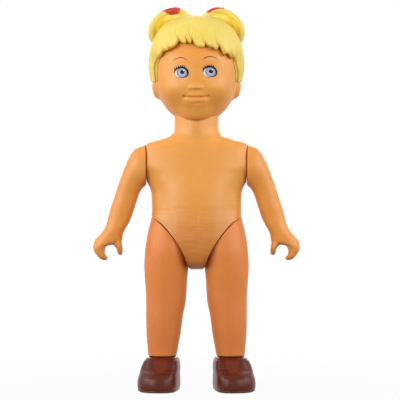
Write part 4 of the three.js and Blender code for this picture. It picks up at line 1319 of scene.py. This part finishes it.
@dataclass
class FacePrint:
    """The printed eyes and brows: thin ink films that lie on the head."""

    head: Head
    eye_at: dict[Side, tuple[float, float]] = field(default_factory=lambda: {
        Side.RIGHT: (-8.1, -2.3), Side.LEFT: (7.25, -1.9)})
    film: float = 0.035  # thickness of one ink
    sink: float = 0.05  # how deep a rim lies under the skin

    def disc(self, centre: tuple[float, float], radii: tuple[float, float], layer: int, power: float = 2.0,
             tilt: float = 0.0) -> tuple[Grid, dict[str, np.ndarray]]:
        """A round film on the face whose rim is sunk into the skin.

        Args:
            centre: Place on the face, sideways and up.
            radii: Half width and half height.
            layer: 1 for the lowest ink.
            power: Squareness of the outline.
            tilt: Turn of the outline, in degrees.

        Returns:
            The grid, rings from the rim to the middle, and its edge and around values.
        """
        share = np.concatenate([[1.02], np.linspace(1, 0.04, 22)])[:, None]
        angle = np.linspace(0, 2 * math.pi, 96, endpoint=False)[None]
        u = radii[0] * share * signed_power(np.cos(angle), 2 / power)
        v = radii[1] * share * signed_power(np.sin(angle), 2 / power)
        sine, cosine = math.sin(math.radians(tilt)), math.cos(math.radians(tilt))
        lift = np.where(share > 1, -self.sink, self.film * layer) + 0 * angle
        x, z = centre[0] + u * cosine - v * sine, centre[1] + u * sine + v * cosine
        return self.head.on_face(x, z, lift), {"edge": share + 0 * angle, "around": angle + 0 * share}

    def stroke(self, points: list[tuple[float, float, float]], layer: int) -> Grid:
        """A brush stroke on the face.

        Args:
            points: Sideways, up and half width along the stroke.
            layer: 1 for the lowest ink.

        Returns:
            A ribbon across the path, its two edges and its ends sunk into the skin.
        """
        path = path_through(np.array(points), 60)
        across = across_path(path)
        v = np.array([-1.05, -1, -0.5, 0, 0.5, 1, 1.05])
        place_at = path[:, None, :2] + across[:, None] * (v[None, :, None] * path[:, None, 2:])
        lift = np.where(np.abs(v) > 1, -self.sink, self.film * layer) + 0 * place_at[..., 0]
        lift[0] = lift[-1] = -self.sink
        return self.head.on_face(place_at[..., 0], place_at[..., 1], lift)

    def eye(self, side: Side, inks: dict[str, bpy.types.Material]) -> None:
        """Prints one eye: white, iris, pupil, glint, lid line, lashes and the rim at its foot.

        Args:
            side: Which eye.
            inks: The ink finishes by name.
        """
        x, z = self.eye_at[side]
        name = side.label
        turn = 4 if side is Side.LEFT else -4
        discs = [
            (f"eye_rim_{name}", (x + 0.1, z - 0.15), (3.6, 2.98), 1, 2.2, turn, "rim"),
            (f"eye_white_{name}", (x - 0.14, z - 0.13), (3.36, 2.76), 2, 2.2, turn, "white"),
            (f"iris_line_{name}", (x + 0.3, z - 0.14), (2.78, 2.68), 3, 2.0, 0, "rim"),
            (f"iris_{name}", (x + 0.34, z - 0.14), (2.6, 2.54), 4, 2.0, 0, "iris"),
            (f"pupil_{name}", (x + 0.55, z + 0.1), (1.16, 1.1), 5, 2.0, 0, "pupil"),
            (f"glint_{name}", (x + 1.25, z + 1.0), (0.42, 0.36), 6, 2.0, 0, "white"),
        ]
        for label, centre, radii, layer, power, tilt, ink in discs:
            grid, masks = self.disc(centre, radii, layer, power, tilt)
            piece = Shaper.build(label, [grid], Wrap.AROUND, (False, True), masks)
            place(piece, "head", inks[ink], "skin")
        lid = [(-3.65, -0.4, 0.1), (-3.35, 0.95, 0.24), (-2.15, 2.05, 0.34), (-0.2, 2.6, 0.4),
               (1.8, 2.2, 0.44), (3.15, 0.95, 0.42), (3.55, -0.6, 0.36), (3.05, -2.0, 0.24),
               (2.1, -2.75, 0.1)]
        strokes = [[(x + u, z + v, w) for u, v, w in lid]]
        for u, v, lean in ((-3.3, 1.2, -0.6), (-2.4, 2.0, -0.5), (-1.4, 2.45, -0.35), (-0.35, 2.65, -0.15),
                           (0.7, 2.6, 0.05), (1.7, 2.3, 0.25)):
            strokes.append([(x + u, z + v, 0.3), (x + u + lean * 0.5, z + v + 0.55, 0.22),
                            (x + u + lean, z + v + 1.1, 0.08)])
        grids = [self.stroke(points, 7) for points in strokes]
        piece = Shaper.build(f"lid_and_lashes_{name}", grids, Wrap.OPEN, (False, False))
        place(piece, "head", inks["lash"], "skin")

    def brow(self, side: Side, ink: bpy.types.Material) -> None:
        """Prints one brow as a thin arc."""
        arcs = {
            Side.RIGHT: [
                (-13.0, 4.0, 0.08), (-10.9, 5.1, 0.2), (-8.8, 5.5, 0.25), (-6.8, 5.2, 0.22), (-5.0, 4.1, 0.1),
            ],
            Side.LEFT: [
                (3.5, 4.3, 0.12), (4.9, 5.5, 0.25), (7.0, 6.1, 0.25), (9.6, 5.7, 0.16), (12.2, 4.8, 0.06),
            ],
        }
        grid = self.stroke(arcs[side], 1)
        piece = Shaper.build(f"brow_{side.label}", [grid], Wrap.OPEN, (False, False))
        place(piece, "head", ink, "skin")

    def dress(self, inks: dict[str, bpy.types.Material]) -> None:
        """Prints both eyes and both brows."""
        for side in Side:
            self.eye(side, inks)
            self.brow(side, inks["brow"])


@dataclass
class Hair:
    """The moulded hair: a cap of locks with a fringe, two looped buns and the hair inside the loops."""

    head: Head
    half: float = 26.2
    front: float = 23.9
    back: float = 24.5
    top: float = 30.0
    bottom: float = 31.0
    squareness: float = 2.2  # of a level section
    fit: float = 0.2  # from the head to the cap's inside
    edge: float = 1.2  # radius of the rounded lower edge
    side_from: float = 74.0  # azimuth where the fringe ends and the side locks begin
    bun_back: float = 3.0
    oval_power: float = 0.85  # of a loop's section, less than 1 being squarer
    web_share: float = 0.82  # depth of the hair inside a loop, as a share of the loop's own
    web_corner: tuple[float, float] = (13.5, 13.5)  # where that hair meets the cap, from the head's centre
    thin: float = 2.3  # how far the side locks thin out towards their front edge
    tuck: float = 1.1  # how far they draw in towards their lower ends
    groove_depth: float = 0.6
    strand_depth: float = 0.1
    loop_strand_depth: float = 0.14
    columns: int = 560
    rows: int = 120  # from the crown to the lower edge
    inner_rows: int = 22
    crowding: float = 0.45  # how much the columns crowd towards the face
    crown: float = 0.012  # where the first row lies, as a share of the rows
    loop_columns: int = 72
    loop_rows: int = 140
    web_rows: int = 30
    web_until: int = 126  # rows of the loop that the hair inside it follows
    web_fan: float = 13.0  # where its ridges spread from, sideways and up
    fringe: Profile = field(init=False)
    nape: Profile = field(init=False)

    # Notches between the locks: sideways place, height, how far the groove runs up
    notches: ClassVar[tuple[tuple[float, float, float], ...]] = (
        (-17.9, 9.0, 7), (-14.8, 10.2, 4), (-9.3, 14.6, 8), (-5.2, 14.6, 5), (-2.4, 14.7, 13),
        (4.8, 12.6, 7), (11.9, 11.6, 17), (15.7, 7.6, 8), (19.9, 5.9, 7), (-21.6, 3.0, 8),
    )
    # Faint grooves at the sides and the back: degrees from the face
    side_grooves: ClassVar[tuple[int, ...]] = (66, 75, 85, 96, 108, 122, 137, 152, 167)

    def __post_init__(self) -> None:
        """Sets the fringe's lower edge by sideways place, and the rest by azimuth, from the head's centre."""
        self.fringe = Profile([
            (-23.5, -6.2), (-23.0, -2.8), (-22.6, 0.6), (-22.2, 2.4), (-21.7, 3.3), (-21.1, 4.9),
            (-19.2, 6.8), (-18.2, 8.1), (-17.7, 9.2), (-16.6, 9.4), (-15.8, 9.5), (-15.4, 9.4),
            (-14.8, 10.2), (-14.2, 10.3), (-12.2, 11.1), (-10.9, 12.2), (-9.9, 13.6), (-9.3, 14.6),
            (-8.7, 13.9), (-7.6, 13.4), (-6.1, 13.0), (-5.6, 13.1), (-5.2, 14.6), (-4.6, 13.5),
            (-2.9, 13.1), (-2.4, 14.7), (-1.6, 13.5), (-0.8, 12.5), (0.3, 11.5), (1.7, 10.8), (4.1, 10.8),
            (4.5, 11.6), (4.8, 12.6), (5.6, 11.8), (7.4, 11.1), (8.9, 10.7), (10.4, 9.6), (11.2, 9.6),
            (11.8, 11.6), (12.3, 11.3), (13.5, 9.3), (15.2, 6.9), (15.7, 7.6), (17.1, 7.5), (18.0, 6.2),
            (19.2, 5.3), (19.8, 5.9), (20.6, 4.2), (21.3, 1.5), (22.0, -1.4), (22.6, -3.8), (23.4, -6.2),
        ])
        self.nape = Profile([
            (60, -6.2), (66, -6.8), (76, -6.8), (88, -5.6), (104, -6.5), (122, -13), (150, -17), (180, -17.5),
        ])

    def plain(self, direction: Grid) -> np.ndarray:
        """Reach of the smooth cap in a direction.

        Args:
            direction: Unit directions from the head's centre.

        Returns:
            An egg a little squarer than the head's, thinned where the side locks end in front and below.
        """
        x, y, z = np.moveaxis(direction, -1, 0)
        depth = np.where(y < 0, self.front, self.back)
        rise = np.where(z > 0, self.top, self.bottom)
        power = np.where(z > 0, 2.5, 2.6)
        flat = np.abs(x / self.half) ** self.squareness + np.abs(y / depth) ** self.squareness
        egg = (flat ** (power / self.squareness) + np.abs(z / rise) ** power) ** (-1 / power)
        turn, height = np.degrees(np.abs(np.arctan2(x, -y))), z * egg
        front = self.thin * ramp(turn, 40, 60) * (1 - ramp(turn, 66, 88)) * (1 - ramp(height, 3, 12))
        below = self.tuck * ramp(-height, -3, 7) * ramp(turn, 60, 80) * (1 - ramp(turn, 105, 130))
        return egg - front - below

    def grooves(self, point: Grid, azimuth: np.ndarray) -> tuple[np.ndarray, np.ndarray]:
        """Depth of the grooves between locks, and how much painted shade they take.

        Args:
            point: Points on the smooth cap.
            azimuth: Degrees from the face.

        Returns:
            For each notch a narrow bell across a line that leans up and back, faded out along it.
        """
        x, _, z = np.moveaxis(point, -1, 0)
        depth, painted_shade = 0 * x, 0 * x
        for at, height, run in self.notches:
            up = z - height
            centre = at - 0.4 * np.clip(up, 0, 4.5) + 0.012 * np.clip(up, 0, 30) ** 2 * np.sign(-at)
            fade = ramp(up, -3, 0) * (1 - ramp(up, 0.25 * run, run))
            front = ramp(-point[..., 1], 4, 9)
            depth = np.maximum(depth, bump(x - centre, 0.34 + 0.03 * up.clip(0, 12)) * fade * front)
            near = ramp(up, -3, 0) * (1 - ramp(up, 0.4, 4.2))
            # painted shade along each notch
            painted_shade = np.maximum(painted_shade, bump(x - centre - 0.3, 0.75) * near * front)
        for at in self.side_grooves:
            lean = np.abs(azimuth) + 0.35 * z
            faint = bump(lean - at, 1.1) * (1 - ramp(z, 6, 20)) * 0.5
            depth = np.maximum(depth, faint)
            painted_shade = np.maximum(painted_shade, 0.6 * faint)
        turn = np.radians(azimuth)
        strands = 0.5 - 0.5 * np.cos(62 * turn + 3 * np.sin(11 * turn) + 0.25 * z)
        return self.groove_depth * depth + self.strand_depth * strands * (1 - depth), painted_shade

    def cap(self) -> tuple[Grid, dict[str, np.ndarray]]:
        """The cap as one closed skin: out from the crown, round the edge, back to the head and up inside.

        Returns:
            The grid, and how much painted shade each vertex takes: in the grooves, towards the lower edge and
            on the wall under it.
        """
        even = np.linspace(-math.pi, math.pi, self.columns, endpoint=False)
        azimuth = even - self.crowding * np.sin(even)
        degrees = np.degrees(azimuth)

        def over(polar: np.ndarray) -> np.ndarray:
            """How far the rounded edge at a polar angle lies above the line that it should follow."""
            direction = Head.direction(azimuth, polar)
            point = direction * (self.plain(direction) - self.edge)[..., None]
            in_front, beside = self.fringe(point[..., 0])[..., 0], self.nape(np.abs(degrees))[..., 0]
            return point[..., 2] - np.where(np.abs(degrees) < self.side_from, in_front, beside)

        edge = bisect(azimuth * 0 + 0.3, azimuth * 0 + 2.6, over)
        share = 1 - (1 - np.linspace(self.crown, 1, self.rows)[:, None]) ** 1.6
        direction = Head.direction(azimuth[None], share * edge)
        smooth = direction * self.plain(direction)[..., None]
        groove, painted_shade = self.grooves(smooth, degrees[None] + 0 * share)
        near = np.clip((1 - share) * edge * self.half / self.edge, 0, 1)
        round_off = self.edge * (1 - np.sqrt(1 - (1 - near) ** 2))
        outside = direction * (self.plain(direction) - groove - round_off)[..., None]
        tip = outside[-1]
        radial = Head.direction(azimuth, edge)
        radial = radial * (self.head.reach(radial) + self.fit)[..., None]
        lean = 1 - 0.035 * ramp(np.abs(tip[:, 0]), 17, 22)
        straight = self.head.on_face(tip[:, 0] * lean, tip[:, 2], self.fit + 0 * azimuth)
        straight -= [0, 0, self.head.centre]
        ahead = 1 - ramp(np.abs(degrees), 72, 82)[:, None]
        rim = radial + (straight - radial) * ahead
        size = np.linalg.norm(rim, axis=-1)
        turn, fall = np.arctan2(rim[:, 0], -rim[:, 1]), np.arccos(rim[:, 2] / size)
        wall = tip + (rim - tip) * np.array([0.35, 0.7])[:, None, None]
        inner = Head.direction(turn[None], np.linspace(1, 0.02, self.inner_rows)[:, None] * fall)
        inside = inner * (self.head.reach(inner) + self.fit)[..., None]
        grid = np.concatenate([outside, wall, inside]) + np.array([0, 0, self.head.centre])
        # painted shade: full on the wall and inside, in the grooves and towards the edge, less at the sides
        mask = np.ones(grid.shape[:2])
        mask[: len(share)] = np.clip(painted_shade + 0.5 * (1 - near) ** 2, 0, 1)
        mask[len(share) :] -= 0.7 * ramp(np.abs(tip[:, 0]), 18.5, 21.5)
        return grid, {"depth": mask}

    def loop_path(self) -> np.ndarray:
        """The middle of a bun's loop: x, z from the head's centre, half thickness, half depth."""
        return path_through(np.array([
            (2.4, 25.6, 2.0, 4.6), (6.2, 30.2, 2.2, 5.2), (10.2, 32.4, 2.1, 5.2), (14.3, 32.1, 2.1, 5.3),
            (18.4, 30.4, 2.1, 6.0), (21.9, 27.7, 2.0, 6.8), (24.0, 24.0, 2.0, 7.1), (24.5, 20.4, 2.0, 7.0),
            (23.3, 16.8, 2.0, 6.2), (20.8, 14.0, 1.9, 5.0),
        ]), self.loop_rows)

    def tube(self, path: np.ndarray, grow: np.ndarray) -> Grid:
        """A tube of oval section along a loop's path.

        Args:
            path: Points with half thickness and half depth.
            grow: Added to both, rows x columns, its columns running from the loop's outside over its back.

        Returns:
            Middle + across * cos^p * (thickness + grow) + y * sin^p * (depth + grow), p being oval_power.
        """
        across = across_path(path)
        angle = np.linspace(0, 2 * math.pi, grow.shape[1], endpoint=False)
        out = signed_power(np.cos(angle), self.oval_power) * (path[:, 2:3] + grow)
        y = self.bun_back + signed_power(np.sin(angle), self.oval_power) * (path[:, 3:4] + grow)
        x = path[:, :1] + across[:, :1] * out
        z = self.head.centre + path[:, 1:2] + across[:, 1:] * out
        return np.stack([x, y, z], -1)

    def loop(self) -> Grid:
        """A bun's loop with strands that run along it."""
        path = self.loop_path()
        t = np.linspace(0, 1, len(path))[:, None]
        angle = np.linspace(0, 2 * math.pi, self.loop_columns, endpoint=False)[None]
        strands = 0.5 - 0.5 * np.cos(9 * angle + 1.5 * np.sin(6 * t))
        ends = -1.0 * (1 - ramp(t, 0, 0.04)) - 1.0 * ramp(t, 0.96, 1)
        return self.tube(path, ends - self.loop_strand_depth * strands)

    def web(self) -> tuple[Grid, dict[str, np.ndarray]]:
        """The hair inside a loop: a ridged pillow between its path and a corner in the cap."""
        rim = self.loop_path()[: self.web_until]
        path = rim[:, :2]
        corner = np.array(self.web_corner)
        share = np.linspace(1, 0, self.web_rows)[:, None, None]
        flat = corner + (path - corner) * share
        turn = np.arctan2(flat[..., 1] - self.web_fan, flat[..., 0] - self.web_fan)
        pillow = 1 - 0.1 * np.sin(share[..., 0] * math.pi)
        swell = self.web_share * rim[:, 3] * pillow + 0.22 * np.cos(14 * turn)
        front = np.stack([flat[..., 0], self.bun_back - swell, self.head.centre + flat[..., 1]], -1)
        back = np.stack([flat[..., 0], self.bun_back + swell, self.head.centre + flat[..., 1]], -1)
        along = np.linspace(0, 1, len(rim))[None]
        # painted shade deepening the middle of the hollow
        deep = bump(along - 0.66, 0.16) * (1 - ramp(share[..., 0], 0.86, 1))
        return np.concatenate([front[::-1], back]), {"depth": np.concatenate([deep[::-1], deep])}

    def dress(self, finish: bpy.types.Material, deep: bpy.types.Material) -> None:
        """Builds the cap, the loops and the hair inside them.

        Args:
            finish: The hair's plastic.
            deep: The same plastic, brightened with painted bounce light and deepened with painted shade,
                where it lies in a hollow.
        """
        grid, masks = self.cap()
        place(Shaper.build("hair_cap", [grid], masks=masks), "head", finish, "hair", "hair")
        pillow, masks = self.web()
        for side in Side:
            name = side.label
            loop = Shaper.build(f"bun_loop_{name}", [mirrored(self.loop(), side)])
            place(loop, "head", finish, "hair")
            grid = mirrored(pillow, side)
            web = Shaper.build(f"bun_hollow_{name}", [grid], Wrap.OPEN, (False, False), masks)
            place(web, "head", deep, "hair")


@dataclass
class HairTie:
    """A red band over the top of each loop: proud above, sunk into the hair below."""

    hair: Hair
    proud: float = 0.45
    sunk: float = 0.4
    rows: int = 56
    columns: int = 120
    span: dict[Side, tuple[float, float]] = field(default_factory=lambda: {
        Side.RIGHT: (0.235, 0.475), Side.LEFT: (0.155, 0.39)})
    reach_down: dict[Side, Profile] = field(default_factory=lambda: {
        Side.RIGHT: Profile([(0, 50), (0.14, 150), (0.42, 158), (0.78, 102), (1, 15)]),
        Side.LEFT: Profile([(0, 30), (0.12, 88), (0.4, 84), (0.76, 60), (1, 15)]),
    })

    def band(self, side: Side) -> Grid:
        """Rows along the loop of one side's band.

        Args:
            side: Which bun.

        Returns:
            The loop's skin raised where the angle from its outside is less than a limit that depends on
            the place along the loop, and sunk elsewhere.
        """
        path = self.hair.loop_path()
        at = np.linspace(*self.span[side], self.rows) * (len(path) - 1)
        rows = np.stack([np.interp(at, np.arange(len(path)), path[:, k]) for k in range(4)], 1)
        t = np.linspace(0, 1, self.rows)[:, None]
        angle = np.linspace(0, 2 * math.pi, self.columns, endpoint=False)[None]
        turned = np.degrees(np.abs(np.angle(np.exp(1j * angle))))
        limit = self.reach_down[side](t)[..., 0]
        inside = ramp(limit - turned, 0, 9) * ramp(t, 0, 0.05) * (1 - ramp(t, 0.95, 1))
        return self.hair.tube(rows, (self.proud + self.sunk) * inside - self.sunk)

    def dress(self, finish: bpy.types.Material) -> None:
        """Builds both ties."""
        for side in Side:
            piece = Shaper.build(f"hair_band_{side.label}", [mirrored(self.band(side), side)])
            place(piece, "head", finish, "tie", f"hair_tie_{side.label}")


# Setting


@dataclass
class Studio:
    """White floor and surround, softboxes in front, at the sides, above and behind, and the camera."""

    distance: float = 1.0  # from the camera to the doll's middle, in metres
    view_height: float = 0.1034  # metres
    view_x: float = 0.0019  # metres
    seen: float = 0.2182  # width of the view at the doll, in metres
    aim: float = 0.11  # height that the lamps look at, in metres
    sensor: float = 36.0  # width of the camera's film, in millimetres
    floor_rings: tuple[float, ...] = (1.0, 400.0, 3000.0)  # radii, in millimetres
    floor_drop: float = 0.05  # how far the floor lies below the soles, in millimetres
    floor_pale: float = 0.86  # how much light the floor sends back
    floor_white: tuple[float, float] = (0.97, 1.0)  # how white it looks near the doll and away from it
    floor_near: tuple[float, float] = (0.05, 0.26)  # metres between which that changes
    sky: float = 0.33  # the sky's strength as a light

    def camera(self) -> None:
        """Sets a long lens level with the doll's middle: field of view = 2 atan(half width / distance)."""
        data = bpy.data.cameras.new("view")
        data.sensor_width = self.sensor
        data.lens = self.sensor / 2 * self.distance / (self.seen / 2)
        camera = bpy.data.objects.new("view", data)
        camera.location = (self.view_x, -self.distance, self.view_height)
        camera.rotation_euler = (math.pi / 2, 0, 0)
        bpy.context.scene.collection.objects.link(camera)
        bpy.context.scene.camera = camera

    def softbox(self, name: str, at: tuple[float, float, float], size: tuple[float, float],
                power: float) -> None:
        """Adds an area lamp that looks at the doll.

        Args:
            name: The lamp's name.
            at: Its place, in metres.
            size: Width and height.
            power: Watts.
        """
        data = bpy.data.lights.new(name, "AREA")
        data.shape = "RECTANGLE"
        data.size, data.size_y = size
        data.energy = power
        lamp = bpy.data.objects.new(name, data)
        lamp.location = at
        lamp.rotation_euler = (Vector((0, 0, self.aim)) - Vector(at)).to_track_quat("-Z", "Y").to_euler()
        bpy.context.scene.collection.objects.link(lamp)

    def floor(self) -> None:
        """Lays the floor: pale to light, and lifted towards white for the camera and for reflections."""
        turn = np.linspace(0, 2 * math.pi, 64, endpoint=False)[None]
        radius = np.array(self.floor_rings)[:, None]
        low = 0 * radius * turn - self.floor_drop
        level = np.stack([radius * np.cos(turn), radius * np.sin(turn), low], -1)
        piece = Shaper.build("floor", [level])
        material = bpy.data.materials.new("floor white")
        material.use_nodes = True
        graph = Graph(material.node_tree)
        seen = graph.seen_rays()
        pale = graph.add("BsdfDiffuse", {}, Color=(*[self.floor_pale] * 3, 1.0))
        white = graph.add("Emission", {}, Color=(1.0, 1.0, 1.0, 1.0), Strength=1.0)
        point = graph.add("TexCoord").outputs["Object"]
        away = graph.add("VectorMath", {"operation": "LENGTH"}, in_0=point).outputs["Value"]
        share = graph.math("MULTIPLY", seen, graph.spread(away, *self.floor_near, *self.floor_white))
        mixed = graph.add("MixShader", {}, in_0=share, in_1=pale.outputs[0], in_2=white.outputs[0])
        graph.add("OutputMaterial", {}, Surface=mixed.outputs[0])
        piece.data.materials.append(material)

    def surround(self) -> None:
        """Sets a dim even sky that is white to the camera and in reflections."""
        world = bpy.data.worlds.new("surround")
        bpy.context.scene.world = world
        world.use_nodes = True
        graph = Graph(world.node_tree)
        strength = graph.spread(graph.seen_rays(), 0.0, 1.0, self.sky, 1.0)
        sky = graph.add("Background", {}, Color=(1.0, 1.0, 1.0, 1.0), Strength=strength)
        graph.add("OutputWorld", {}, Surface=sky.outputs[0])

    def dress(self) -> None:
        """Builds the whole setting."""
        bpy.context.scene.view_settings.view_transform = "Standard"
        self.floor()
        self.surround()
        pairs = [
            ("low softbox", (0.6, -0.92, 0.22), (0.45, 0.24), (3.4, 2.4)),
            ("softbox", (0.91, -0.52, 0.42), (0.35, 0.45), (4.6, 3.9)),
            ("side light", (1.04, -0.06, 0.42), (0.45, 0.6), (2.8, 2.8)),
            ("high light", (0.75, 0.0, 0.85), (0.24, 0.24), (1.0, 1.0)),
        ]
        for name, (x, y, z), size, (left, right) in pairs:
            self.softbox(f"left {name}", (-x, y, z), size, left)
            self.softbox(f"right {name}", (x, y, z), size, right)
        self.softbox("back light", (0.0, 1.1, 0.5), (0.7, 0.7), 6.0)
        self.camera()


def dress_hidden_fittings(groups: Groups) -> None:
    """Gives the studs and washers inside the doll their plastic and rubber."""
    white, rubber = INNER.make(groups), WASHERS.make(groups)
    for name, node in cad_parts.items():
        finish = white if "stud" in name else rubber if "ring" in name else None
        if finish:
            node.data.materials.clear()
            node.data.materials.append(finish)
            log.info("%s keeps its solid", name)


def main() -> None:
    """Dresses the doll from the body outwards and lights it."""
    logging.basicConfig(level=logging.INFO, format="%(name)s: %(message)s")
    groups = Groups()
    hip = HipJoint()
    torso = Torso(hip)
    torso.dress(BODY.make(groups, hip_relief_and_painted_shade))
    shoe = Shoe()
    Leg(hip, shoe.height).dress(LEGS.make(groups, shin_painted_shade))
    Arm(torso).dress(ARMS.make(groups))
    shoe.dress(SHOES.make(groups))
    head = Head()
    head.dress(FACE.make(groups))
    FacePrint(head).dress({name: ink.make() for name, ink in INKS.items()})
    hair = Hair(head)
    hair.dress(HAIR.make(groups), HAIR_WITH_PAINTED_BOUNCE.make(groups))
    HairTie(hair).dress(TIES.make(groups))
    dress_hidden_fittings(groups)
    Studio().dress()


if __name__ == "__main__":
    main()
